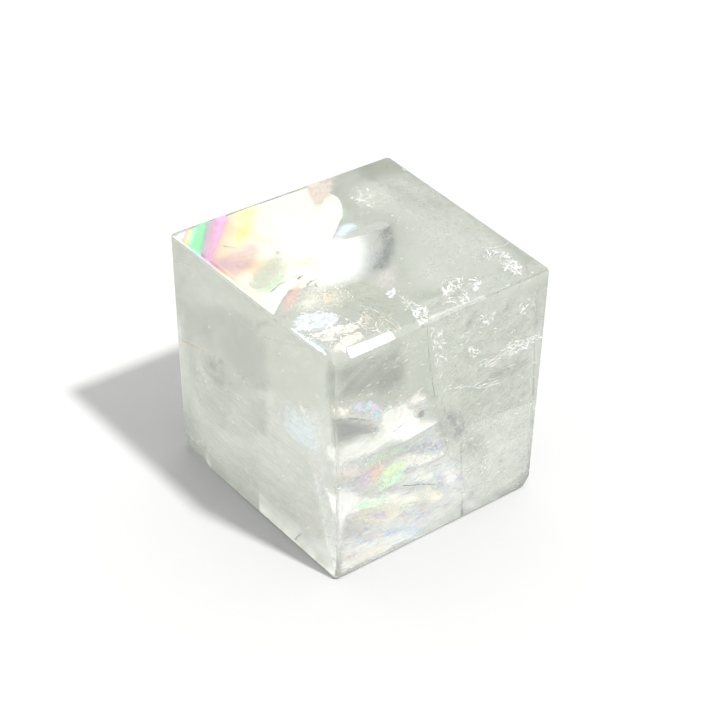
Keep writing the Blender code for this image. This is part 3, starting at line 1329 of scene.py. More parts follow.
@dataclass(frozen=True)
class Studio:
    """A white table under a broad soft sky, with one softbox for the shadow, and the camera."""

    eye: Point = (0.18319, -0.13957, 0.19072)
    target: Point = (-0.0000434, 0.00027923, 0.021)
    roll: float = 0.24
    lens: float = 90.39
    key_from: Point = (0.515, 0.153, 0.843)
    key_spread: float = 4.2
    key_strength: float = 5.7
    table_tone: float = 0.40
    table_radius: float = 3.0
    gleams: tuple[Softbox, ...] = (
        Softbox("chamfer_gleam", 33.85, 39.0, 0.036, 0.3, 0.5),
        Softbox("chamfer_glow", 33.85, 39.0, 0.2, 0.3, 0.5),
        Softbox("arris_gleam", -136.0, 19.5, 0.34, 0.34, 0.6),
    )

    def camera(self) -> bpy.types.Object:
        """Set up the camera that the scene is seen by."""
        data = bpy.data.cameras.new("camera")
        data.lens = self.lens
        data.sensor_width = 36.0
        data.clip_start = 0.01
        camera = bpy.data.objects.new("camera", data)
        look = (Vector(self.target) - Vector(self.eye)).to_track_quat("-Z", "Y")
        roll = Matrix.Rotation(math.radians(self.roll), 4, "Z")
        camera.matrix_world = Matrix.Translation(self.eye) @ look.to_matrix().to_4x4() @ roll
        bpy.context.scene.collection.objects.link(camera)
        bpy.context.scene.camera = camera
        return camera

    def table(self) -> bpy.types.Object:
        """Lay the pale table that the stone stands on."""
        bm = bmesh.new()
        bmesh.ops.create_circle(bm, cap_ends=True, segments=96, radius=self.table_radius,
                                matrix=Matrix.Translation((0.0, 0.0, -0.00003)))
        mesh = bpy.data.meshes.new("table")
        bm.to_mesh(mesh)
        bm.free()
        material, tree, shader = new_material("table_paper")
        tree.feed(shader, Base_Color=(*[self.table_tone] * 3, 1.0), Roughness=0.9)
        mesh.materials.append(material)
        table = link("table", mesh)
        return table

    def key(self) -> bpy.types.Object:
        """Hang the sun-like softbox that throws the shadow."""
        data = bpy.data.lights.new("key", "SUN")
        data.energy = self.key_strength
        data.angle = math.radians(self.key_spread)
        data.color = (1.0, 0.995, 0.98)
        lamp = bpy.data.objects.new("key", data)
        lamp.rotation_euler = Vector(self.key_from).to_track_quat("Z", "Y").to_euler()
        lamp.visible_glossy = False
        lamp.visible_transmission = False
        bpy.context.scene.collection.objects.link(lamp)
        return lamp

    def sky(self) -> None:
        """Surround the scene with a soft pale sky, brightest behind the stone and overhead."""
        world = bpy.data.worlds.new("soft_sky")
        world.use_nodes = True
        bpy.context.scene.world = world
        tree = Tree(world.node_tree)
        shade = world.node_tree.nodes["Background"]
        way = tree.add("ShaderNodeTexCoord").outputs["Generated"]
        split = tree.add("ShaderNodeSeparateXYZ")
        tree.put(split.inputs[0], way)
        away = tree.vector("DOT_PRODUCT", way, (-0.80, 0.60, 0.0))
        behind = tree.remap(away.outputs["Value"], -0.8, 0.7, 0.24, 0.98, smooth=True)
        overhead = tree.remap(split.outputs[2], 0.35, 0.9, 0.0, 0.8, smooth=True)
        glow = tree.math("ADD", behind, overhead)
        rays = tree.add("ShaderNodeLightPath")
        level = tree.add("ShaderNodeMix", data_type="FLOAT")
        tree.put(level.inputs[0], rays.outputs["Is Camera Ray"])
        tree.put(level.inputs[2], glow)
        tree.put(level.inputs[3], 1.05)
        tree.feed(shade, Color=(1.0, 1.0, 0.995, 1.0), Strength=level.outputs[0])

    def film(self) -> None:
        """Set how light travels through the stone and how tones are shown."""
        scene = bpy.context.scene
        scene.view_settings.view_transform = "Standard"
        scene.cycles.max_bounces = 20
        scene.cycles.transmission_bounces = 20
        scene.cycles.glossy_bounces = 12
        scene.cycles.diffuse_bounces = 3
        scene.cycles.transparent_max_bounces = 96
        scene.cycles.caustics_reflective = True
        scene.cycles.caustics_refractive = True
        scene.cycles.sample_clamp_indirect = 6.0
        scene.cycles.blur_glossy = 0.3

    def build(self) -> None:
        """Set up the camera, table, light and sky."""
        self.camera()
        self.table()
        self.key()
        for gleam in self.gleams:
            gleam.hang()
        self.sky()
        self.film()


# What is sealed in this stone
# ----------------------------

TOP, RIGHT, FRONT = Window.TOP, Window.RIGHT, Window.FRONT

# Ways that a sheet may lie, other than the one that is usual behind its window
FAN_LIE = (0.011, 0.039, 1.0)
LEANING = (0.94, -0.05, 0.33)
STEEP = (0.985, -0.05, 0.17)
UPRIGHT = (1.0, 0.0, 0.0)
FACING = (0.0, -1.0, 0.0)

GOLD_FLAKE = FlakeFinish(pallor=0.65, film=(165.0, 215.0))
SHELF = FilmFinish(base=148.0, ripple=90.0, grain=700.0, pallor=0.82, cover=1.0, softness=0.5,
                   patch=900.0, hem=0.0020, mirror=0.2, heading=90.0, stretch=(3.5, 1.0, 1.0))
FOIL = FilmFinish(base=230.0, ripple=330.0, grain=900.0, pallor=0.6, cover=0.75, softness=0.35,
                  patch=1300.0, hem=0.0007, mirror=0.2, stretch=(2.0, 1.0, 1.0))

UPPER_VEILS = (
    Veil("fan_veil", TOP, (0.0, 0.0, 41.06), ((-19.9, -21.8), (-19.8, -13.0), (-19.6, -4.6), (-19.5, 5.2),
        (-18.4, 8.5), (-15.6, 6.2), (-14.2, 6.6), (-11.8, 5.8), (-9.2, 4.2), (-7.1, 1.8), (-4.7, -1.3),
        (-3.0, -2.2), (0.6, -5.2), (3.1, -7.8), (3.9, -10.6), (3.7, -13.1), (3.0, -15.0), (4.0, -16.7),
        (5.6, -18.8), (6.8, -20.1), (5.2, -21.8), (-8.0, -21.8)), FilmFinish(mouth=(-20.5, -20.8, 40.0),
        heading=49.0, base=143.0, swell=740.0, decay=0.0032, ripple=16.0, grain=110.0, pallor=0.5,
        cover=1.2, strength=1.0, hem=0.0006, swellings=(Swelling((-7.5, -17.4, 41.0), 52.0, (4.2, 1.9),
        82.0), Swelling((-13.9, -11.2, 41.0), 20.0, (5.0, 1.2), 26.0), Swelling((-2.1, -9.0, 41.0), 62.0,
        (2.6, 0.7), 30.0))), normal=FAN_LIE, leaf=EVEN_LEAF),
    Veil("fan_lobe", TOP, (0.0, 0.0, 41.3), ((-6.6, -4.8), (-6.9, -1.9), (-6.1, -0.2), (-5.3, 2.3),
        (-5.0, 4.7), (-4.6, 7.2), (-3.3, 8.5), (-0.2, 7.0), (2.6, 4.6), (4.8, 2.5), (6.7, 0.5), (7.6, -2.4),
        (7.7, -5.3), (7.5, -7.9), (6.9, -10.4), (6.3, -12.7), (3.9, -13.3), (-1.7, -9.8)),
        FilmFinish(mouth=(-0.2, -3.1, 41.0), heading=66, base=143.0, ripple=16.0, pallor=0.9, close=0.0056,
        taper=0.0056, fray=0.0034, cover=1.2, strength=0.96, hem=0.004, melts=True), normal=FAN_LIE,
        leaf=BROAD_LEAF),
    Veil("green_band", TOP, (-17.8, -16.7, 42.1), ((-22.5, -13.8), (-22.3, -11.5), (-19.0, -14.3),
        (-15.1, -17.6), (-10.8, -21.1), (-15.1, -21.4), (-19.1, -17.5)),
        MistFinish(colour=(0.36, 0.96, 0.42), cover=1.6, softness=0.9, strength=0.75, hem=0.0011)),
    Veil("magenta_band", TOP, (-16.1, -15.1, 42.1), ((-22.6, -11.9), (-22.5, -8.6), (-18.6, -10.8),
        (-14.8, -14.3), (-11.7, -17.6), (-9.1, -21.0), (-10.8, -21.1), (-15.0, -17.5), (-18.9, -14.1)),
        MistFinish(colour=(0.98, 0.56, 0.98), cover=1.6, softness=0.9, strength=0.8, hem=0.0014)),
    Veil("yellow_band", TOP, (-16.2, -10.0, 42.1), ((-20.5, -9.4), (-21.1, -6.7), (-20.9, -3.4),
        (-17.1, -5.7), (-12.9, -9.7), (-10.7, -13.4), (-10.8, -15.5), (-13.7, -14.7), (-16.8, -12.2)),
        MistFinish(colour=(1.0, 0.96, 0.26), cover=0.8, softness=0.6, strength=0.8, hem=0.0034, grain=420.0,
        heading=49.0, stretch=(1.0, 2.0, 1.0))),
    Veil("lobe_shade", TOP, (2.4, 1.7, 41.6), ((-3.6, 1.3), (-5.0, 5.1), (-4.8, 8.5), (-2.2, 10.0),
        (3.4, 6.7), (7.6, 2.6), (9.9, -1.4), (10.2, -5.4), (7.6, -8.2), (2.0, -3.3)),
        MistFinish(colour=(0.46, 0.48, 0.46), cover=1.0, softness=0.7, strength=0.6, hem=0.0052,
        grain=420.0), leaf=EVEN_LEAF),
    Veil("warm_cloud", TOP, (6.5, -12.6, 41.3), ((4.9, -17.7), (2.4, -14.5), (1.4, -11.5), (3.7, -9.7),
        (6.3, -7.4), (9.3, -7.6), (11.2, -10.2), (11.1, -13.7), (10.3, -17.4), (7.6, -18.6)),
        MistFinish(colour=(1.0, 0.99, 0.9), cover=0.72, softness=0.5, strength=0.6, hem=0.004,
        grain=650.0)),
    Veil("lobe_halo", TOP, (0.6, -2.5, 41.5), ((-6.6, -2.9), (-6.9, 1.5), (-5.4, 4.6), (-2.0, 5.5),
        (2.8, 2.6), (6.2, -1.2), (7.6, -5.6), (7.3, -9.5), (5.5, -12.1), (-0.1, -9.9)),
        MistFinish(colour=(1.0, 1.0, 0.98), cover=1.1, softness=0.8, strength=0.85, hem=0.005, grain=300.0),
        leaf=EVEN_LEAF),
    Veil("rose_wedge", TOP, (-17.3, 5.4, 41.8), ((-21.0, 4.4), (-21.5, 8.0), (-19.6, 10.6), (-15.8, 7.4),
        (-13.6, 3.8), (-12.7, 1.0), (-15.9, 2.1)), MistFinish(colour=(0.74, 0.63, 0.58), cover=0.72,
        softness=0.6, strength=0.92, hem=0.0014, grain=700.0)),
    Veil("green_fringe", TOP, (-10.4, 4.5, 41.8), ((-14.4, 6.3), (-13.9, 6.9), (-11.3, 6.0), (-9.0, 4.6),
        (-6.6, 2.0), (-6.1, 0.7), (-8.2, 2.7), (-10.5, 4.6), (-12.3, 5.6)),
        MistFinish(colour=(0.6, 0.84, 0.66), cover=1.2, softness=0.7, strength=0.7, hem=0.0009)),
    Veil("blue_gleam", TOP, (-5.7, 1.7, 41.8), ((-4.7, -1.8), (-6.9, 0.6), (-7.6, 2.6), (-6.7, 3.9),
        (-5.2, 4.5), (-4.2, 1.8), (-4.1, -0.4)), MistFinish(colour=(0.72, 0.84, 0.96), cover=1.2,
        softness=0.7, strength=0.85, hem=0.0012)),
    Veil("wedge_shade", TOP, (-3.9, 4.0, 41.7), ((-4.3, -1.7), (-4.6, -0.2), (-4.8, 2.5), (-5.0, 5.1),
        (-4.9, 7.4), (-4.0, 8.6), (-2.1, 8.2), (-2.2, 5.7), (-2.5, 3.2), (-3.2, 0.6)),
        MistFinish(colour=(0.5, 0.52, 0.49), cover=0.95, strength=0.9, grain=400.0, hem=0.0006,
        heading=16.0, stretch=(4.0, 1.0, 1.0))),
    Veil("back_shade", TOP, (-7.6, 6.6, 41.1), ((-7.5, 3.1), (-9.0, 5.1), (-9.1, 7.0), (-7.3, 8.5),
        (-5.1, 9.1), (-5.6, 6.8), (-6.4, 4.2)), MistFinish(colour=(0.46, 0.48, 0.46), cover=0.65,
        strength=0.5, grain=400.0, hem=0.0012, heading=16.0, stretch=(4.0, 1.0, 1.0))),
    Veil("dusky_wedge", TOP, (-2.6, -15.2, 42.0), ((-2.0, -21.5), (-5.1, -17.8), (-7.0, -13.9),
        (-7.5, -10.8), (-5.6, -9.2), (-2.4, -10.4), (0.3, -13.0), (1.7, -16.0), (1.9, -18.8), (1.0, -21.4)),
        MistFinish(colour=(0.6, 0.64, 0.54), cover=0.9, softness=0.8, strength=0.75, grain=500.0,
        hem=0.0032)),
    Veil("green_rim", TOP, (-0.8, -15.2, 41.9), ((-0.1, -19.3), (-0.3, -17.3), (-0.8, -15.4), (-1.9, -13.3),
        (-4.0, -11.1), (-2.8, -10.9), (-0.6, -12.8), (1.0, -15.5), (1.4, -17.7), (1.5, -19.8)),
        MistFinish(colour=(0.62, 0.95, 0.62), cover=1.1, softness=0.8, strength=0.7, hem=0.0011)),
    Veil("rose_haze", TOP, (-8.0, -16.2, 42.0), ((-10.0, -20.0), (-12.0, -16.2), (-12.3, -12.7),
        (-11.3, -10.4), (-7.8, -11.3), (-5.1, -15.0), (-3.5, -18.3), (-2.1, -21.7), (-6.8, -21.0)),
        MistFinish(colour=(0.8, 0.64, 0.64), cover=0.9, softness=0.8, strength=0.75, grain=500.0,
        hem=0.003)),
    Veil("ember_streak", TOP, (4.1, -15.2, 41.9), ((6.5, -19.7), (3.7, -17.1), (1.8, -14.5), (1.1, -12.3),
        (1.9, -11.1), (4.5, -13.4), (6.4, -16.0), (7.5, -18.3)), MistFinish(colour=(1.0, 0.56, 0.52),
        cover=0.9, softness=0.8, strength=0.85, grain=500.0, hem=0.002)),
    # The next two dark sheets are painted shade: the lobe's far end, where its curved crack turns away and
    # reflects less light.
    Veil("lobe_end_shade", TOP, (2.0, 3.2, 41.6), ((-2.9, 5.1), (-4.3, 8.1), (-2.8, 9.3), (1.8, 6.8), (5.4, 3.3),
        (7.5, 0.2), (7.0, -1.8), (5.4, -3.2), (3.3, 0.3), (0.6, 3.3)), MistFinish(colour=(0.2, 0.22, 0.22),
        cover=0.75, softness=0.4, strength=0.7, hem=0.0016, grain=1000.0)),
    Veil("lobe_end_shade_tail", TOP, (3.5, 0.7, 41.6), ((1.2, 0.3), (1.2, 2.7), (3.0, 2.8), (5.8, 1.0), (6.2, -1.2),
        (4.7, -2.3)), MistFinish(colour=(0.42, 0.46, 0.5), cover=0.7, strength=0.5, hem=0.0018,
        grain=500.0)),
    Veil("murk", TOP, (7.2, -8.9, 40.8), ((4.3, -13.7), (4.0, -11.0), (5.4, -8.6), (5.8, -5.7), (7.1, -2.6),
        (9.2, -2.4), (11.0, -5.3), (11.3, -9.2), (10.6, -12.4), (8.6, -15.1), (8.0, -17.2)),
        MistFinish(colour=(0.5, 0.53, 0.43), cover=0.62, strength=0.6, hem=0.0022, grain=420.0,
        heading=20.0, stretch=(2.5, 1.0, 1.0))),
    Veil("murk_gold", TOP, (7.4, -11.1, 41.3), ((6.6, -11.4), (6.4, -10.4), (7.6, -10.4), (8.8, -11.3),
        (9.0, -12.5), (7.7, -12.4)), FilmFinish(base=195.0, ripple=60.0, grain=1200.0, pallor=0.3,
        cover=0.6, patch=1100.0, strength=0.8, hem=0.0005, mirror=0.2)),
    Veil("rose_cloud", TOP, (8.2, -1.6, 41.0), ((5.2, -1.6), (5.2, 1.1), (7.2, 2.2), (10.5, 0.3),
        (12.3, -2.6), (11.9, -4.9), (9.7, -5.3), (7.1, -4.5)), MistFinish(colour=(0.93, 0.8, 0.84),
        cover=0.6, strength=0.42, hem=0.0024, grain=420.0)),
    Veil("speck_field", TOP, (13.3, -7.4, 40.9), ((8.8, -9.2), (9.4, -6.6), (11.9, -4.9), (15.2, -3.8),
        (18.1, -4.9), (17.9, -7.7), (17.4, -10.2), (14.1, -11.3), (11.3, -11.0)),
        MistFinish(colour=(0.42, 0.43, 0.34), cover=0.45, softness=0.2, strength=0.6, hem=0.0016,
        grain=1500.0)),
    Veil("foil_white", TOP, (11.2, -16.2, 41.5), ((9.8, -20.3), (8.9, -18.5), (8.7, -16.2), (9.3, -14.1),
        (11.1, -13.0), (12.8, -12.8), (14.0, -14.4), (14.3, -16.4), (13.6, -18.3), (12.4, -19.9)),
        replace(FOIL, base=335.0, ripple=260.0, grain=1400.0, pallor=0.8, cover=0.6, patch=1900.0,
        heading=84.0), leaf=CRUMPLED_LEAF),
    Veil("foil_blue", TOP, (14.4, -19.8, 41.6), ((9.9, -20.6), (10.0, -19.6), (12.2, -19.4), (14.7, -19.2),
        (17.3, -18.9), (18.9, -19.5), (18.8, -20.4), (16.5, -20.8), (13.2, -20.9)), replace(FOIL,
        base=338.0, ripple=100.0, pallor=0.66, cover=1.0, heading=-5.0), leaf=CRUMPLED_LEAF),
    Veil("foil_rose", TOP, (17.9, -15.7, 41.4), ((18.4, -19.4), (17.4, -17.6), (16.6, -15.3), (16.5, -13.1),
        (17.5, -12.4), (19.0, -13.2), (19.2, -15.1), (19.3, -17.3), (19.6, -19.4)), replace(FOIL,
        base=215.0, ripple=90.0, pallor=0.72, cover=0.85, heading=60.0), leaf=CRUMPLED_LEAF),
    Veil("foil_middle", TOP, (14.9, -15.5, 41.2), ((13.1, -19.4), (13.3, -16.7), (14.0, -14.0),
        (14.9, -11.9), (16.6, -12.1), (16.8, -15.1), (17.2, -17.8), (16.0, -19.1)), replace(FOIL,
        base=170.0, ripple=160.0, pallor=0.75, cover=0.6, heading=84.0), leaf=CRUMPLED_LEAF),
    Veil("corner_smudge", TOP, (12.5, 15.9, 40.7), ((12.0, 15.3), (11.9, 16.6), (13.4, 16.3), (14.3, 15.2),
        (13.5, 14.5)), MistFinish(colour=(0.42, 0.44, 0.43), cover=0.6, strength=0.6, hem=0.0007,
        grain=900.0)),
    Veil("back_cloud", TOP, (0.7, 12.4, 39.5), ((-14.5, 9.2), (-15.4, 14.3), (-16.0, 20.0), (-6.2, 20.8),
        (8.8, 20.5), (18.3, 19.4), (18.8, 11.9), (16.1, 2.7), (12.6, -1.3), (6.4, 2.8), (0.2, 8.5),
        (-7.5, 9.8)), MistFinish(colour=(0.7, 0.72, 0.68), cover=0.55, strength=0.35, hem=0.003,
        grain=240.0, heading=30.0, stretch=(2.5, 1.0, 1.0)), leaf=BROAD_LEAF),
    Veil("back_specks", TOP, (-11.5, 11.1, 41.1), ((-12.3, 5.1), (-14.9, 8.7), (-15.9, 12.6), (-14.7, 15.3),
        (-11.0, 16.2), (-6.4, 13.3), (-5.2, 8.8), (-8.4, 6.5)), MistFinish(colour=(0.95, 0.96, 0.86),
        cover=0.5, softness=0.5, strength=0.5, hem=0.0034, grain=1300.0)),
    Veil("back_mottle", TOP, (-3.3, 10.5, 40.8), ((-16.1, 9.2), (-16.2, 16.5), (-12.4, 19.7), (-3.8, 18.9),
        (3.6, 15.2), (9.9, 7.7), (11.9, 0.4), (6.0, 2.3), (0.9, 7.5), (-5.2, 8.8), (-8.8, 4.9)),
        MistFinish(colour=(0.5, 0.52, 0.48), cover=0.5, softness=0.2, strength=0.4, hem=0.004,
        grain=1100.0)),
    Veil("back_dust", TOP, (2.0, 12.3, 40.4), ((-15.5, 9.9), (-17.0, 19.6), (-12.5, 22.7), (0.3, 21.6),
        (13.2, 20.8), (19.0, 17.6), (19.1, 7.8), (16.8, 0.2), (12.6, -1.3), (4.7, 6.1), (-1.5, 9.1),
        (-7.0, 7.4)), MistFinish(colour=(0.9, 0.92, 0.86), cover=0.42, softness=0.5, strength=0.25,
        hem=0.004, grain=1300.0)),
    Veil("top_cloud", TOP, (1.0, 12.0, 41.1), ((-15.9, 9.4), (-17.2, 17.3), (-13.9, 22.9), (-2.7, 22.5),
        (7.5, 21.6), (15.7, 18.6), (18.0, 12.6), (16.5, 4.2), (13.8, -2.3), (7.9, 1.2), (2.0, 7.1),
        (-3.6, 9.1), (-9.8, 7.6)), MistFinish(colour=(0.56, 0.58, 0.54), cover=0.66, softness=0.5,
        strength=0.42, grain=700.0, hem=0.004)),
)

SIDE_VEILS = (
    Veil("upper_shade", RIGHT, (17.5, -10.1, 32.9), ((-19.9, 40.8), (-9.8, 40.5), (-7.2, 40.6),
        (-6.3, 36.0), (-5.9, 31.3), (-6.6, 30.3), (-7.7, 30.3), (-8.8, 30.2), (-11.0, 30.8), (-14.2, 32.7),
        (-17.0, 33.2), (-19.8, 33.9)), MistFinish(colour=(0.2, 0.22, 0.21), cover=0.74, softness=0.5,
        strength=0.5, grain=200.0, hem=0.0024, lean=28.0, stretch=(1.0, 3.5, 1.0)), normal=UPRIGHT,
        leaf=BROAD_LEAF),
    Veil("ember_specks", RIGHT, (19.6, -17.9, 31.6), ((-20.0, 34.2), (-18.6, 33.8), (-16.7, 32.2),
        (-16.3, 30.5), (-17.9, 30.4), (-19.8, 30.9)), replace(FOIL, base=185.0, ripple=150.0, pallor=0.75,
        hem=0.0012)),
    Veil("pastel_row", RIGHT, (19.3, -13.7, 30.4), ((-17.0, 32.9), (-15.3, 33.0), (-13.1, 32.2),
        (-11.3, 30.3), (-11.3, 28.8), (-13.1, 29.1), (-15.3, 30.4), (-16.9, 31.3)), replace(FOIL,
        base=300.0, ripple=260.0, pallor=0.72, cover=0.72, hem=0.0008)),
    Veil("cyan_spot", RIGHT, (19.9, -12.1, 28.9), ((-13.3, 29.7), (-12.6, 30.1), (-11.7, 29.9),
        (-11.3, 29.0), (-12.0, 28.2), (-13.1, 28.3)), replace(SHELF, base=348.0, ripple=50.0, pallor=0.4,
        hem=0.0009)),
    Veil("white_flank", RIGHT, (18.8, -9.1, 26.4), ((-12.4, 27.8), (-11.3, 29.4), (-10.2, 30.5),
        (-9.3, 30.7), (-8.6, 28.8), (-7.6, 27.5), (-7.4, 25.5), (-8.1, 23.8), (-10.1, 23.4), (-12.4, 24.6)),
        replace(SHELF, cover=1.2, ripple=100.0, stretch=(1.5, 1.0, 1.0))),
    Veil("upper_patch", RIGHT, (18.9, -4.1, 27.4), ((-7.7, 28.8), (-6.4, 29.9), (-4.9, 30.3), (-2.8, 29.0),
        (-2.0, 27.4), (-3.0, 26.5), (-4.6, 26.5), (-6.3, 26.7)), replace(SHELF, base=165.0, cover=0.85,
        hem=0.0014, heading=0.0, lean=28.0, stretch=(1.0, 3.5, 1.0))),
    Veil("flank_facets", RIGHT, (18.2, -5.2, 25.2), ((-9.3, 27.5), (-8.0, 28.8), (-6.2, 27.9), (-4.3, 26.3),
        (-3.1, 25.1), (-3.4, 23.9), (-6.1, 24.9), (-8.3, 25.2)), replace(SHELF, ripple=120.0, cover=1.1,
        strength=0.9)),
    Veil("great_shelf", RIGHT, (19.4, -9.0, 22.2), ((-20.1, 26.2), (-17.9, 26.5), (-14.9, 26.6),
        (-12.4, 26.3), (-10.2, 26.1), (-7.6, 25.8), (-5.7, 25.7), (-3.5, 25.0), (-0.8, 23.2), (1.2, 20.6),
        (1.7, 18.2), (-0.2, 18.2), (-2.7, 19.2), (-5.4, 20.2), (-7.9, 20.8), (-9.9, 21.0), (-12.0, 20.9),
        (-13.8, 20.8), (-16.5, 21.5), (-18.8, 22.3), (-20.1, 22.5)), replace(SHELF, ripple=70.0, cover=1.25,
        hem=0.0026, stretch=(4.5, 1.0, 1.0))),
    Veil("grey_lens", RIGHT, (19.6, -15.1, 27.0), ((-20.7, 32.4), (-17.9, 31.5), (-15.3, 30.2),
        (-12.7, 28.5), (-10.9, 26.4), (-10.5, 24.9), (-12.7, 24.6), (-15.6, 25.1), (-17.9, 25.2),
        (-20.6, 25.9)), MistFinish(colour=(0.4, 0.4, 0.39), cover=1.1, softness=0.8, strength=0.85,
        grain=300.0, hem=0.0022), normal=UPRIGHT),
    Veil("blue_mottle", RIGHT, (19.7, -2.7, 18.1), ((-8.2, 20.8), (-5.6, 20.7), (-2.6, 19.5), (-0.2, 18.4),
        (1.3, 18.4), (1.6, 16.5), (-0.1, 16.0), (-3.1, 16.8), (-5.9, 18.0), (-7.9, 19.5)),
        MistFinish(colour=(0.5, 0.54, 0.62), cover=0.6, strength=0.6, grain=900.0, hem=0.0008),
        normal=UPRIGHT),
    Veil("violet_spot", RIGHT, (19.9, -0.2, 17.6), ((-2.0, 18.8), (-1.0, 19.1), (0.4, 18.5), (1.0, 17.2),
        (0.0, 16.7), (-1.3, 17.3)), replace(SHELF, base=285.0, ripple=40.0, pallor=0.6, strength=0.8,
        hem=0.0012)),
    Veil("tan_specks", RIGHT, (19.5, -3.4, 16.0), ((-9.7, 19.0), (-7.1, 19.3), (-4.0, 17.6), (-0.9, 16.4),
        (1.4, 16.6), (1.1, 14.6), (-0.9, 14.6), (-3.0, 14.8), (-6.3, 15.2), (-8.9, 16.7)), replace(FOIL,
        base=150.0, grain=1800.0, patch=1800.0, pallor=0.7)),
    Veil("mint_wash", RIGHT, (19.2, -9.6, 19.5), ((-15.2, 20.5), (-13.1, 21.8), (-10.5, 21.5), (-7.9, 21.4),
        (-5.2, 20.3), (-4.6, 19.1), (-7.5, 19.1), (-10.1, 19.2), (-12.3, 18.7), (-14.5, 19.0)),
        replace(SHELF, base=398.0, ripple=90.0, pallor=0.55, strength=0.85, melts=True)),
    Veil("rose_lens", RIGHT, (19.6, -16.5, 19.5), ((-19.7, 22.9), (-18.0, 22.6), (-15.6, 21.3),
        (-14.0, 19.5), (-14.1, 17.9), (-16.0, 17.8), (-18.0, 18.3), (-19.6, 19.4)), replace(SHELF,
        base=236.0, ripple=60.0, pallor=0.78, strength=0.8, melts=True)),
    Veil("rose_shade", RIGHT, (19.8, -16.8, 18.9), ((-19.6, 21.3), (-17.8, 20.3), (-15.6, 20.0),
        (-14.1, 18.5), (-15.2, 17.3), (-18.0, 18.1), (-19.6, 19.4)), MistFinish(colour=(0.5, 0.45, 0.42),
        cover=0.7, strength=0.5, grain=500.0, hem=0.0014), normal=UPRIGHT),
    Veil("magenta_flash", RIGHT, (19.7, -12.9, 17.3), ((-16.0, 16.3), (-15.4, 18.3), (-14.5, 19.8),
        (-13.4, 20.8), (-12.0, 21.1), (-10.1, 19.2), (-10.4, 16.7), (-11.9, 15.0), (-13.6, 14.3),
        (-15.2, 15.0)), FilmFinish(mouth=(19.0, -15.4, 15.0), heading=90.0, base=286.0, slope=-16.0,
        ripple=120.0, grain=900.0, pallor=0.6, cover=0.62, softness=0.3, patch=1300.0, hem=0.001,
        mirror=0.2)),
    Veil("teal_flank", RIGHT, (19.5, -8.8, 15.3), ((-12.6, 14.2), (-11.9, 17.0), (-10.4, 18.4),
        (-8.6, 18.9), (-6.3, 17.4), (-6.2, 14.6), (-7.7, 13.0), (-10.0, 12.5)), replace(FOIL, base=392.0,
        ripple=110.0, grain=1100.0, cover=0.62, pallor=0.6, hem=0.001)),
    Veil("middle_white", RIGHT, (18.9, -3.3, 12.2), ((-8.9, 13.1), (-7.4, 15.2), (-4.9, 15.5), (-1.6, 14.5),
        (-0.2, 12.7), (-0.3, 10.3), (-2.3, 10.3), (-5.8, 11.6)), replace(SHELF, cover=0.9)),
    Veil("bright_patch", RIGHT, (19.4, 2.2, 10.0), ((-0.8, 14.0), (1.1, 14.0), (3.1, 12.4), (4.2, 9.9),
        (4.1, 7.9), (2.6, 7.1), (0.7, 8.2), (-0.5, 10.8)), replace(SHELF, cover=1.0, ripple=40.0,
        pallor=0.92, hem=0.0022)),
    Veil("pale_foot", RIGHT, (19.2, 4.5, 5.1), ((0.9, 7.7), (3.3, 7.7), (5.8, 6.7), (7.1, 5.2), (6.3, 3.7),
        (3.5, 3.7), (1.4, 5.2)), replace(SHELF, cover=0.9, strength=0.6)),
    Veil("cream_block", RIGHT, (19.6, -1.0, 7.4), ((-4.0, 10.5), (-1.9, 10.5), (0.5, 8.9), (1.8, 6.6),
        (1.2, 4.8), (-1.4, 5.5), (-3.0, 7.2), (-4.0, 8.9)), replace(SHELF, base=178.0, pallor=0.72)),
    Veil("corner_white", RIGHT, (19.3, -16.9, 13.5), ((-19.9, 19.0), (-17.8, 18.0), (-15.2, 16.1),
        (-13.8, 14.0), (-15.6, 13.2), (-17.1, 12.0), (-18.0, 10.7), (-19.3, 10.1), (-20.0, 13.5)),
        replace(SHELF, cover=1.1, pallor=0.92, lustre=1.15)),
    Veil("corner_band", RIGHT, (19.9, -17.7, 14.8), ((-19.7, 25.3), (-18.7, 25.2), (-16.7, 23.3),
        (-17.1, 22.2), (-18.3, 21.7), (-18.5, 18.3), (-16.3, 16.5), (-13.8, 14.2), (-15.2, 12.8),
        (-17.3, 11.5), (-18.0, 8.7), (-18.6, 5.3), (-19.4, 2.1), (-19.9, 2.0), (-20.0, 12.5),
        (-19.9, 20.2)), MistFinish(colour=(1.0, 1.0, 0.99), cover=1.0, softness=0.5, strength=0.9,
        hem=0.0012, grain=420.0), normal=(1.0, -0.02, 0.02)),
    Veil("white_terrace", RIGHT, (18.7, -7.9, 10.1), ((-15.2, 14.8), (-11.5, 14.3), (-7.7, 12.8),
        (-3.9, 11.1), (-3.0, 8.8), (-4.0, 7.5), (-7.3, 8.1), (-10.5, 9.4), (-14.1, 11.2)), replace(SHELF,
        cover=0.95, pallor=0.7)),
    Veil("green_lens", RIGHT, (19.8, -12.5, 11.7), ((-16.7, 13.0), (-15.2, 13.6), (-13.0, 13.0),
        (-10.7, 12.3), (-9.0, 11.2), (-10.4, 10.9), (-12.6, 11.1), (-14.9, 11.6)), replace(SHELF,
        base=388.0, ripple=90.0, pallor=0.45, hem=0.001, melts=True)),
    Veil("peach_stripe", RIGHT, (19.4, -12.2, 8.6), ((-17.8, 11.7), (-16.0, 12.2), (-13.4, 11.3),
        (-10.3, 9.5), (-8.0, 7.5), (-6.6, 5.4), (-9.1, 6.1), (-12.4, 8.4), (-15.2, 9.6), (-17.5, 10.0)),
        FilmFinish(mouth=(19.0, -17.5, 9.0), heading=90.0, base=212.0, slope=8.0, ripple=60.0, grain=500.0,
        pallor=0.6, cover=0.9, softness=0.3, patch=500.0, mirror=0.2, hem=0.0014, stretch=(2.5, 1.0, 1.0))),
    Veil("dusk_lens", RIGHT, (19.5, -15.5, 7.5), ((-19.3, 11.3), (-16.7, 10.8), (-14.1, 9.2), (-12.2, 7.2),
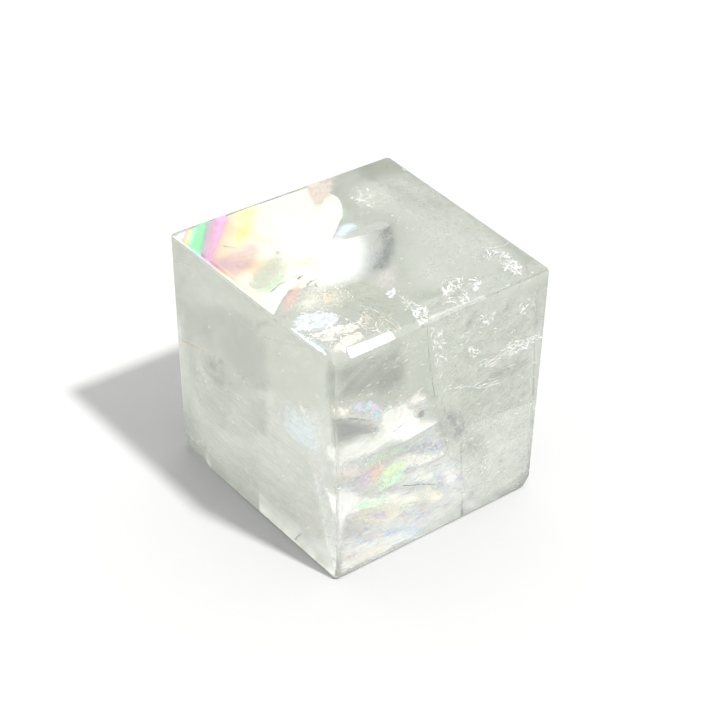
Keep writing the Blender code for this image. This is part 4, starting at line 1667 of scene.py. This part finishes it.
        (-12.8, 5.7), (-15.2, 5.6), (-17.8, 6.4), (-19.3, 7.9)), MistFinish(colour=(0.5, 0.47, 0.42),
        cover=0.8, softness=0.6, strength=0.6, grain=500.0, hem=0.0026, heading=90.0,
        stretch=(3.5, 1.0, 1.0)), normal=UPRIGHT),
    Veil("upper_streak", RIGHT, (19.9, -14.4, 6.7), ((-17.8, 7.8), (-16.0, 8.0), (-13.7, 7.6), (-10.9, 6.6),
        (-12.0, 6.1), (-14.8, 6.4), (-17.1, 6.8)), replace(SHELF, cover=1.0, hem=0.0009)),
    Veil("lower_streak", RIGHT, (19.9, -15.0, 4.3), ((-18.2, 5.1), (-16.3, 5.6), (-14.1, 5.2), (-11.6, 4.3),
        (-13.1, 3.9), (-15.6, 3.9), (-17.5, 4.1)), replace(SHELF, cover=1.0, hem=0.0009)),
    Veil("pastel_blue", RIGHT, (19.1, -6.2, 2.5), ((-11.4, 4.4), (-9.9, 6.1), (-6.8, 5.5), (-3.3, 3.4),
        (-2.0, 0.9), (-5.2, 0.5), (-8.3, 1.1)), replace(SHELF, base=335.0, ripple=140.0, pallor=0.7,
        strength=0.6)),
    Veil("foot_terrace", RIGHT, (19.2, -11.8, 2.4), ((-19.3, 6.5), (-16.7, 6.8), (-13.0, 6.0), (-9.1, 4.8),
        (-5.2, 3.0), (-2.8, 0.9), (-7.5, 0.3), (-12.9, 0.2), (-17.1, 0.4), (-19.4, 1.3)), replace(SHELF,
        cover=0.9, strength=0.8)),
    Veil("ember_streaks", RIGHT, (19.6, -12.4, 1.9), ((-17.3, 3.4), (-15.2, 3.9), (-12.6, 3.6), (-9.5, 3.0),
        (-7.3, 1.8), (-8.7, 0.9), (-12.2, 1.1), (-15.2, 1.3), (-17.1, 1.9)), replace(FOIL, base=200.0,
        ripple=120.0, pallor=0.66, hem=0.0016, heading=90.0, stretch=(4.0, 1.0, 1.0))),
    Veil("foot_glow", RIGHT, (19.8, -17.2, 1.4), ((-19.7, 4.7), (-17.8, 4.1), (-15.6, 1.7), (-14.1, -0.2),
        (-16.7, -0.2), (-19.0, 0.2), (-19.5, 1.8)), replace(SHELF, base=150.0, strength=0.75)),
    Veil("thorn", RIGHT, (19.9, -3.7, 24.8), ((-5.0, 24.6), (-4.6, 25.6), (-3.7, 26.1), (-3.1, 25.2),
        (-3.5, 24.1)), MistFinish(colour=(0.4, 0.41, 0.36), cover=0.9, strength=0.75, grain=600.0,
        hem=0.0005), normal=UPRIGHT),
    Veil("pastel_bed", RIGHT, (14.6, -3.2, 13.3), ((-20.0, 33.1), (-17.0, 32.9), (-13.8, 31.8),
        (-11.0, 31.6), (-7.3, 31.0), (-2.5, 29.3), (-0.4, 24.2), (1.7, 19.8), (3.0, 15.9), (6.0, 11.1),
        (7.4, 5.9), (6.8, 2.4), (3.2, 0.9), (-1.6, 0.1), (-7.5, -0.4), (-16.7, -0.6), (-20.3, 1.1)),
        replace(SHELF, base=152.0, ripple=150.0, grain=500.0, pallor=0.86, cover=1.25, patch=500.0,
        strength=0.82, hem=0.004, mirror=0.1), normal=LEANING, leaf=BROAD_LEAF),
    Veil("pastel_grain", RIGHT, (15.4, -3.4, 13.6), ((-20.0, 33.1), (-17.0, 32.9), (-13.8, 31.8),
        (-11.0, 31.6), (-7.3, 31.0), (-2.5, 29.3), (-0.4, 24.2), (1.7, 19.8), (3.0, 15.9), (6.0, 11.1),
        (7.4, 5.9), (6.8, 2.4), (3.2, 0.9), (-1.6, 0.1), (-7.5, -0.4), (-16.7, -0.6), (-20.3, 1.1)),
        replace(FOIL, base=300.0, ripple=520.0, grain=1100.0, pallor=0.62, cover=0.42, patch=1100.0,
        strength=0.7, hem=0.003, heading=90.0, stretch=(3.5, 1.0, 1.0)), normal=LEANING, leaf=BROAD_LEAF),
    Veil("right_cloud", RIGHT, (17.6, 8.1, 20.2), ((-3.2, 41.1), (-1.0, 40.9), (4.5, 40.7), (11.2, 40.7),
        (18.3, 39.4), (18.8, 25.2), (19.0, 9.3), (18.8, 0.7), (13.7, 0.6), (8.5, 0.9), (6.3, 3.1),
        (4.5, 8.1), (3.1, 12.8), (1.4, 17.6), (-0.4, 22.7), (-1.7, 27.6), (-2.4, 34.4)),
        MistFinish(colour=(0.84, 0.86, 0.81), cover=0.68, softness=0.5, strength=0.48, grain=700.0,
        hem=0.0016, lean=30.0, stretch=(1.0, 2.0, 1.0)), normal=STEEP, leaf=BROAD_LEAF),
    Veil("right_veil", RIGHT, (16.6, 10.6, 19.6), ((-2.5, 40.4), (4.6, 40.4), (18.3, 39.0), (18.8, 25.2),
        (19.0, 9.3), (18.8, 0.7), (8.5, 1.4), (5.2, 9.8), (2.1, 19.2), (-0.9, 28.2)),
        MistFinish(colour=(0.6, 0.62, 0.58), cover=0.5, strength=0.35, grain=160.0, hem=0.002, lean=35.0,
        stretch=(1.0, 2.0, 1.0)), normal=STEEP, leaf=BROAD_LEAF),
    Veil("smoke_spot", RIGHT, (19.6, 3.0, 19.3), ((-0.4, 23.8), (1.5, 23.7), (4.1, 22.2), (5.5, 19.9),
        (5.3, 17.7), (4.3, 16.8), (3.6, 15.4), (1.8, 16.8), (1.1, 19.7), (-0.2, 21.8)),
        MistFinish(colour=(0.36, 0.37, 0.41), cover=0.52, softness=0.25, strength=0.6, grain=1300.0,
        hem=0.0014, lean=20.0, stretch=(1.0, 1.0, 2.0)), normal=UPRIGHT),
    Veil("low_smoke", RIGHT, (18.8, 7.5, 11.9), ((2.9, 16.9), (5.7, 16.7), (9.0, 14.8), (11.2, 11.8),
        (10.1, 9.5), (7.3, 8.4), (4.8, 10.0), (3.5, 13.5)), MistFinish(colour=(0.44, 0.46, 0.45), cover=0.6,
        strength=0.5, grain=600.0, hem=0.0025, lean=30.0, stretch=(1.0, 2.0, 1.0)), normal=UPRIGHT),
    Veil("dark_dots", RIGHT, (19.8, -1.2, 26.6), ((-2.4, 27.9), (-1.3, 28.0), (-0.5, 26.5), (-1.0, 25.6),
        (-2.2, 26.5)), MistFinish(colour=(0.3, 0.32, 0.32), cover=0.5, strength=0.6, grain=900.0,
        hem=0.0008), normal=UPRIGHT),
    Veil("edge_light", RIGHT, (18.4, 18.4, 15.9), ((15.4, 32.3), (18.8, 32.4), (19.3, 21.1), (19.0, 9.3),
        (18.9, 2.3), (17.2, 2.3), (16.2, 12.6), (16.1, 22.5)), MistFinish(colour=(1.0, 1.0, 1.0), cover=1.0,
        softness=0.6, strength=0.7, grain=200.0, hem=0.0024), normal=STEEP),
    Veil("lime_wash", RIGHT, (19.3, -9.8, 16.2), ((-14.9, 16.5), (-13.4, 18.5), (-10.8, 19.2), (-8.2, 18.7),
        (-5.5, 17.0), (-7.0, 15.4), (-9.6, 14.3), (-12.6, 14.6)), MistFinish(colour=(0.92, 1.0, 0.62),
        cover=0.7, softness=0.5, strength=0.6, grain=500.0, hem=0.0022)),
    Veil("flank_white", RIGHT, (18.4, -6.5, 24.2), ((-10.9, 24.9), (-9.8, 27.8), (-8.4, 29.3), (-6.6, 28.9),
        (-5.0, 26.3), (-3.4, 23.7), (-4.1, 21.7), (-7.1, 21.6), (-10.1, 22.3)), replace(SHELF, cover=1.2,
        pallor=0.95, hem=0.0014, lustre=1.15)),
    Veil("foot_white", RIGHT, (19.2, -13.9, 12.1), ((-18.2, 15.5), (-16.0, 15.1), (-12.3, 13.3),
        (-9.6, 11.1), (-11.5, 10.5), (-15.2, 11.2), (-17.8, 12.1)), replace(SHELF, cover=1.1, pallor=0.92,
        hem=0.0012)),
    Veil("foot_light", RIGHT, (18.2, 12.8, 6.2), ((8.5, 15.4), (18.9, 13.4), (19.0, 0.5), (12.7, 0.7),
        (6.8, 2.9), (5.6, 10.4)), MistFinish(colour=(0.97, 1.0, 0.95), cover=0.75, softness=0.6,
        strength=0.5, grain=500.0, hem=0.003), normal=LEANING, leaf=BROAD_LEAF),
    Veil("honey_wash", RIGHT, (19.4, -8.2, 8.6), ((-17.1, 14.9), (-13.0, 14.0), (-7.7, 12.2), (-1.9, 9.7),
        (1.4, 5.6), (-1.3, 3.7), (-7.6, 4.4), (-13.3, 6.6), (-17.5, 10.8)),
        MistFinish(colour=(1.0, 0.98, 0.7), cover=0.65, softness=0.4, strength=0.42, grain=400.0,
        hem=0.0024), leaf=BROAD_LEAF),
)

FRONT_VEILS = (
    Veil("dark_wedge", FRONT, (3.2, -19.6, 38.4), ((1.3, 36.9), (3.4, 39.7), (6.0, 41.2), (4.9, 39.1),
        (2.3, 36.9)), MistFinish(colour=(0.4, 0.41, 0.37), cover=0.85, strength=0.5, hem=0.0007,
        grain=500.0), normal=FACING),
    # A dark sheet facing the front that makes a patch of the front's tone darker.
    Veil("front_dark_patch", FRONT, (-4.6, -19.0, 24.2), ((-14.1, 23.5), (-10.0, 26.6), (-7.3, 26.7),
        (-5.9, 24.4), (-2.2, 24.3), (1.2, 27.5), (5.0, 31.6), (6.9, 29.7), (4.7, 26.2), (0.4, 24.0),
        (-4.6, 20.2), (-10.7, 18.4), (-13.9, 20.1)), MistFinish(colour=(0.42, 0.45, 0.44), cover=0.55,
        strength=0.45, hem=0.0022, grain=420.0), normal=FACING),
    Veil("gold_fringe", FRONT, (3.7, -19.4, 18.5), ((3.6, 20.1), (4.7, 21.6), (5.4, 20.5), (5.0, 17.9),
        (3.6, 16.4), (2.9, 17.3)), MistFinish(colour=(1.0, 0.97, 0.8), cover=0.8, strength=0.45, hem=0.0016,
        grain=500.0)),
    Veil("front_specks", FRONT, (9.0, -19.2, 7.9), ((5.7, 6.8), (8.0, 10.7), (11.2, 12.8), (13.2, 12.2),
        (12.5, 8.6), (9.8, 4.6), (6.6, 3.7)), MistFinish(colour=(0.95, 0.98, 1.0), cover=0.5, strength=0.35,
        hem=0.003, grain=500.0)),
    Veil("pale_ledge", FRONT, (6.1, -19.3, 10.9), ((3.8, 10.4), (6.5, 12.6), (9.1, 12.9), (8.5, 11.3),
        (5.4, 9.8)), MistFinish(colour=(1.0, 0.98, 0.92), cover=0.8, strength=0.45, hem=0.0012,
        grain=500.0)),
    Veil("middle_shade", FRONT, (-6.6, -19.6, 24.2), ((-19.5, 31.3), (-5.8, 37.9), (3.4, 39.4), (5.2, 35.9),
        (4.5, 17.6), (-4.2, 10.8), (-14.4, 8.9), (-19.0, 15.1)), MistFinish(colour=(0.4, 0.42, 0.38),
        cover=0.72, softness=0.9, strength=0.38, hem=0.0024, grain=150.0), normal=FACING),
)

MISTS = (
    MistStack("slant_mist", (0.0, 8.8, -6.5), (0.0, -2.1, 3.65), 13, (0.04, -0.5, 0.87), (60.0, 60.0),
        MistFinish(colour=(0.74, 0.76, 0.71), strength=0.28, cover=0.64, softness=0.9, grain=110.0,
        hem=0.002), seed=20),
    MistStack("level_mist", (0.0, 9.0, 39.0), (0.0, 0.0, -7.0), 6, (0.03, -0.04, 1.0), (44.0, 22.0),
        MistFinish(colour=(0.52, 0.54, 0.49), strength=0.24, cover=0.6, grain=130.0), seed=30),
    MistStack("front_mist", (-1.0, -15.5, 1.0), (0.0, 0.0, 2.0), 19, (0.04, -0.5, 0.87), (42.0, 10.0),
        MistFinish(colour=(0.8, 0.82, 0.77), strength=0.13, cover=0.62, softness=0.9, grain=50.0,
        hem=0.004), seed=60),
    MistStack("foot_mist", (-3.0, -15.0, 0.6), (0.0, 0.0, 1.2), 20, (0.04, -0.5, 0.87), (40.0, 11.0),
        MistFinish(colour=(1.0, 1.0, 0.97), strength=0.42, cover=0.85, softness=0.9, grain=50.0, hem=0.004),
        seed=80),
    MistStack("blue_patch", (11.6, -18.6, 21.6), (0.0, 0.0, 0.5), 10, (0.04, -0.5, 0.87), (9.0, 3.6),
        MistFinish(colour=(0.9, 0.96, 1.0), strength=0.5, cover=0.9, softness=0.8, grain=320.0, hem=0.0012),
        seed=110),
    MistStack("side_mist", (18.0, 9.0, 21.0), (-6.0, 0.0, 0.0), 6, (1.0, 0.05, 0.3), (44.0, 22.0),
        MistFinish(colour=(0.7, 0.72, 0.67), strength=0.24, cover=0.6, grain=130.0), seed=40),
)

DRIFTS = (
    FlakeDrift("corner_spray", TOP, 0.7, ((11.3, 15.2), (11.3, 16.7), (13.3, 17.6), (17.6, 16.9),
        (19.4, 15.9), (19.5, 14.1), (16.8, 15.0), (14.6, 14.7), (13.1, 14.0)), 6.0, length=1.3, width=0.2,
        seed=3),
    FlakeDrift("corner_blaze", TOP, 0.5, ((15.9, 16.0), (16.0, 17.1), (18.3, 16.6), (19.7, 15.3),
        (19.2, 14.1), (17.5, 14.6)), 6.0, length=1.3, width=0.4, seed=4),
    FlakeDrift("middle_blaze", TOP, 0.6, ((17.4, 2.3), (15.8, 4.0), (14.8, 6.2), (15.2, 6.8), (16.7, 5.3),
        (18.1, 2.9)), 5.0, length=1.5, width=0.35, heading=2.3, twist=0.6, seed=5),
    FlakeDrift("middle_spray", TOP, 0.8, ((14.3, 3.7), (13.7, 6.9), (15.4, 9.8), (17.7, 9.4), (19.0, 6.7),
        (19.5, 4.0), (18.9, 1.8), (16.9, 2.0)), 2.2, length=1.1, width=0.2, seed=6),
    FlakeDrift("gem_specks", TOP, 0.6, ((18.0, 7.1), (17.3, 8.3), (17.6, 9.2), (18.6, 8.4), (18.7, 7.2)),
        9.0, length=0.9, width=0.4, seed=7),
    FlakeDrift("lower_gem", TOP, 0.6, ((19.2, 3.9), (18.2, 5.2), (18.7, 5.8), (19.9, 4.8), (19.8, 3.9)),
        9.0, length=0.9, width=0.4, seed=8),
    FlakeDrift("bright_dash", TOP, 0.5, ((10.8, -3.8), (11.6, -3.1), (12.9, -2.7), (13.4, -3.6),
        (12.5, -4.5)), 14.0, length=1.3, width=0.45, seed=9),
    FlakeDrift("junction_spray", TOP, 0.5, ((17.7, -3.8), (16.4, -2.1), (17.5, -1.5), (19.7, -2.7),
        (20.9, -4.4), (19.5, -4.7)), 11.0, length=1.1, width=0.4, seed=11),
    FlakeDrift("vein_spray", TOP, 0.5, ((12.1, -2.0), (13.4, -1.9), (18.3, -2.9), (19.2, -4.3),
        (15.4, -3.5), (13.1, -3.2)), 6.0, length=0.8, width=0.2, seed=12),
    FlakeDrift("gold_spray", TOP, 0.6, ((16.8, -10.1), (15.8, -8.6), (16.2, -7.1), (17.9, -6.6),
        (19.6, -7.5), (19.9, -9.2), (19.7, -11.1), (18.5, -11.2)), 5.0, length=1.3, width=0.12, seed=13,
        finish=GOLD_FLAKE),
    FlakeDrift("star_spray", TOP, 0.6, ((15.3, -12.2), (13.8, -10.9), (13.6, -9.5), (15.3, -9.7),
        (17.2, -11.3), (16.9, -12.5)), 9.0, length=1.5, width=0.12, seed=14, finish=GOLD_FLAKE),
    FlakeDrift("murk_flecks", TOP, 0.6, ((3.7, -15.4), (4.1, -12.2), (5.2, -8.9), (7.3, -6.9), (11.0, -9.6),
        (10.7, -13.4), (8.2, -16.9), (6.2, -18.0)), 5.0, length=0.45, width=0.2, seed=18,
        finish=GOLD_FLAKE),
    FlakeDrift("back_spray", TOP, 1.0, ((-10.1, 7.1), (-12.6, 8.7), (-13.9, 11.1), (-12.0, 11.7),
        (-9.2, 10.3), (-8.6, 8.2)), 5.0, length=0.9, width=0.3, seed=15),
    FlakeDrift("foil_specks", TOP, 0.4, ((9.6, -20.0), (8.6, -17.2), (9.5, -13.9), (12.4, -12.5),
        (15.2, -10.7), (17.7, -8.9), (18.6, -11.8), (18.7, -15.8), (19.3, -19.0), (16.3, -19.9),
        (12.6, -20.1)), 3.0, length=0.7, width=0.3, seed=16),
    FlakeDrift("top_specks", TOP, 2.0, ((-14.8, 19.5), (-14.5, 9.2), (5.0, 0.9), (14.1, -3.6), (18.3, -2.9),
        (20.7, 6.4), (22.3, 16.7), (12.9, 19.4), (-2.9, 20.2)), 0.25, length=0.5, width=0.15, seed=17),
    FlakeDrift("upper_row", RIGHT, 0.6, ((11.3, 30.1), (11.8, 31.0), (13.1, 31.2), (15.2, 30.4),
        (16.8, 30.4), (18.8, 30.3), (19.1, 29.3), (16.9, 28.5), (14.5, 28.6), (12.5, 28.9)), 8.0,
        length=1.2, width=0.3, lean=0.3, heading=1.6, twist=1.0, seed=20),
    FlakeDrift("dash_row", RIGHT, 0.6, ((6.6, 29.1), (7.0, 30.1), (9.7, 30.1), (13.7, 29.5), (14.1, 28.4),
        (11.0, 28.4), (8.6, 28.3)), 6.0, length=1.8, width=0.12, lean=0.2, heading=1.6, twist=0.3, seed=21),
    FlakeDrift("lower_row", RIGHT, 0.8, ((2.3, 26.9), (2.9, 27.6), (6.8, 25.9), (11.2, 24.9), (11.9, 23.7),
        (7.7, 24.6)), 3.5, length=1.8, width=0.12, lean=0.2, heading=1.6, twist=0.3, seed=22),
    FlakeDrift("left_gem", RIGHT, 0.6, ((4.2, 32.0), (4.3, 33.5), (5.7, 33.4), (6.9, 32.0), (6.3, 31.1)),
        8.0, length=0.8, width=0.35, seed=23),
    FlakeDrift("partition_spray", RIGHT, 0.6, ((-3.0, 39.6), (-2.1, 40.3), (-0.8, 39.0), (0.5, 34.9),
        (0.5, 30.2), (-0.6, 28.4), (-1.8, 30.4), (-2.3, 35.0)), 1.2, length=1.0, width=0.2, seed=24),
    FlakeDrift("partition_gem", RIGHT, 0.5, ((-2.3, 36.5), (-2.0, 38.8), (-0.7, 38.5), (0.3, 36.5),
        (-0.8, 35.5)), 5.0, length=1.1, width=0.25, seed=25),
    FlakeDrift("far_gem", RIGHT, 0.7, ((14.0, 36.2), (14.2, 38.5), (15.8, 38.2), (16.3, 36.3),
        (15.4, 35.2)), 7.0, length=1.0, width=0.3, seed=26),
    FlakeDrift("side_gem", RIGHT, 0.7, ((6.6, 37.0), (6.9, 38.5), (8.5, 38.3), (9.3, 37.0), (8.2, 36.2)),
        7.0, length=0.9, width=0.25, seed=27),
    FlakeDrift("shelf_specks", RIGHT, 0.9, ((-19.8, 34.8), (-11.7, 33.0), (-2.1, 28.7), (1.7, 19.4),
        (4.5, 8.1), (1.5, 4.5), (-7.5, 1.9), (-17.1, 0.8), (-19.7, 1.9)), 1.4, length=0.4, width=0.14,
        seed=28),
    FlakeDrift("low_gem", RIGHT, 0.8, ((8.1, 9.2), (9.2, 10.3), (11.3, 8.9), (11.0, 7.4), (9.0, 7.6)), 5.0,
        length=0.6, width=0.2, seed=29),
    FlakeDrift("right_specks", RIGHT, 1.4, ((-2.5, 41.1), (4.5, 40.7), (18.3, 39.4), (19.1, 21.2),
        (18.7, 1.1), (12.6, 1.6), (5.4, 5.6), (1.7, 17.4), (-0.9, 27.1)), 0.35, length=0.7, width=0.12,
        lean=0.3, heading=1.6, twist=0.6, seed=30),
    FlakeDrift("shade_specks", RIGHT, 1.0, ((-18.7, 39.3), (-9.6, 39.9), (-3.2, 40.0), (-2.5, 28.9),
        (-9.9, 30.7), (-17.9, 33.6)), 0.6, length=0.9, width=0.08, lean=0.3, heading=1.6, twist=0.4,
        seed=31),
    FlakeDrift("front_specks_fine", FRONT, 0.8, ((-18.7, 38.0), (17.3, 39.2), (18.0, 26.2), (18.4, 2.9),
        (-18.6, 1.6)), 0.1, length=0.4, width=0.15, seed=32),
)

THREADS = (
    Thread("top_hairlines", TOP, 0.3, (((-12.7, -16.2), (-12.0, -15.6), (-11.2, -14.9)), ((-6.7, -10.7),
        (-6.2, -10.1)), ((-2.8, -7.7), (-2.2, -7.8), (-2.2, -7.2)), ((1.7, -17.8), (1.2, -16.6),
        (0.6, -15.2), (0.5, -14.1)), ((1.1, -12.3), (0.7, -11.5), (0.8, -10.9)), ((3.3, -12.3),
        (2.7, -11.0), (2.8, -9.9)), ((3.4, -10.9), (4.5, -11.2)), ((0.2, -12.6), (0.2, -11.7))), 0.2,
        seed=1.0, finish=HairlineFinish(colour=(0.16, 0.17, 0.15), cover=0.8, strength=0.95)),
    Thread("side_hairlines", RIGHT, 0.5, (((-9.2, 24.1), (-8.5, 24.4), (-7.9, 24.6), (-7.0, 24.8)),
        ((-7.2, 12.8), (-5.4, 12.0), (-3.1, 11.1), (-0.7, 9.7)), ((-3.0, 14.0), (-2.0, 14.7), (-0.7, 14.7),
        (0.7, 14.8), (1.6, 16.1)), ((-19.8, 31.1), (-17.9, 30.6), (-15.3, 29.3), (-13.1, 28.0))), 0.16,
        seed=2.0),
    Thread("shelf_outlines", RIGHT, 0.4, (((-1.9, 9.9), (-0.7, 8.7), (0.2, 7.0), (0.4, 5.7)), ((-19.3, 2.5),
        (-17.1, 1.1), (-15.2, 0.9)), ((-14.9, 15.0), (-11.5, 14.3), (-8.1, 13.0)), ((-16.7, 12.8),
        (-14.5, 11.6), (-11.9, 10.9), (-9.2, 10.9))), 0.1, seed=5.0,
        finish=HairlineFinish(colour=(0.42, 0.3, 0.16), cover=0.6, strength=0.55)),
    Thread("partition_line", RIGHT, 0.4, (((-3.4, 41.2), (-2.9, 36.3), (-2.1, 30.6), (-1.5, 27.3)),
        ((-1.0, 24.5), (-0.1, 20.6), (1.2, 16.5))), 0.16, seed=4.0, wander=0.5,
        finish=HairlineFinish(colour=(0.3, 0.31, 0.3), cover=0.62, strength=0.6)),
    # Painted highlight and real cracks: the two bright threads along the top's right edge stand in for that
    # edge's highlight, and the other two are crack lines.
    Thread("edge_highlight_and_veins", TOP, 0.25, (((20.4, -3.8), (20.9, -2.4), (20.7, 0.8), (20.6, 2.9), (20.7, 5.1),
        (20.7, 9.5), (21.2, 12.4)), ((21.4, -1.7), (21.4, 1.3), (21.4, 3.9)), ((10.4, 15.4), (11.5, 16.6),
        (12.1, 18.3), (11.8, 20.2)), ((11.2, -3.6), (12.3, -3.0), (13.8, -2.7), (16.3, -3.1),
        (18.8, -3.6))), 0.13, seed=3.0, wander=0.12, finish=FlakeFinish()),
    Thread("bright_scratches", TOP, 0.3, (((11.9, -8.9), (13.3, -8.1), (15.5, -7.7)), ((13.0, -9.0),
        (14.4, -7.9)), ((-15.1, 20.2), (-14.0, 20.6)), ((-4.0, -1.8), (-3.5, -0.5), (-2.9, 1.0)),
        ((15.3, -1.9), (16.7, -4.4))), 0.16, seed=6.0, finish=FlakeFinish()),
    Thread("side_scratches", RIGHT, 0.5, (((6.8, 29.3), (8.2, 29.4), (10.3, 29.4)), ((12.5, 26.6),
        (14.3, 26.4)), ((2.7, 26.9), (4.5, 26.5), (7.2, 24.9), (9.6, 24.4), (11.6, 24.1)), ((8.8, 25.8),
        (11.2, 25.3)), ((12.7, 29.4), (14.8, 29.6), (17.6, 29.3)), ((-0.9, 36.7), (-0.2, 38.8)),
        ((4.4, 10.2), (7.2, 10.5))), 0.14, seed=8.0, finish=FlakeFinish()),
    Thread("gold_arc", FRONT, 0.4, (((-19.1, 22.9), (-17.8, 23.3), (-16.3, 23.7), (-14.6, 24.0),
        (-13.0, 24.1)),), 0.34, seed=9.0, wander=0.1, finish=FlakeFinish(pallor=0.3, film=(180.0, 195.0))),
    Thread("front_scratches", FRONT, 0.4, (((1.7, 35.9), (3.2, 36.2), (5.5, 37.2), (8.0, 38.1)),
        ((-19.6, 37.6), (-17.5, 38.5), (-15.3, 39.1)), ((-17.9, 3.1), (-16.1, 3.6), (-13.7, 4.1)),
        ((-20.8, 3.6), (-19.1, 3.0), (-16.7, 2.8)), ((-2.8, 7.6), (-2.6, 6.1)), ((-1.8, 5.8), (-1.4, 4.4),
        (-1.7, 2.9)), ((8.5, 38.5), (11.7, 39.6)), ((7.2, 35.6), (9.1, 36.2))), 0.13, seed=10.0, wander=0.1,
        finish=FlakeFinish()),
    Thread("front_nicks", FRONT, 0.2, (((5.7, 0.3), (6.2, -0.4)), ((10.8, 2.6), (9.9, 1.0)), ((11.6, 3.6),
        (11.0, 2.6))), 0.14, seed=11.0, finish=HairlineFinish(colour=(0.25, 0.25, 0.22))),
)


def main() -> None:
    """Build the studio, the stone and what is sealed in it."""
    logging.basicConfig(level=logging.INFO, format="%(name)s: %(message)s")
    studio = Studio()
    studio.build()
    hull = Hull(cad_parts[NODE])
    shop = Workshop(hull, Sightline(hull, Vector(studio.eye)), Effects.make())
    recipes = Recipes.make()
    StoneBody().build(hull)
    for sheet in (*UPPER_VEILS, *SIDE_VEILS, *FRONT_VEILS, *MISTS):
        sheet.build(shop)
    for trace in (*DRIFTS, *THREADS):
        trace.build(shop, recipes)
    Bubble().build()


if __name__ == "__main__":
    main()
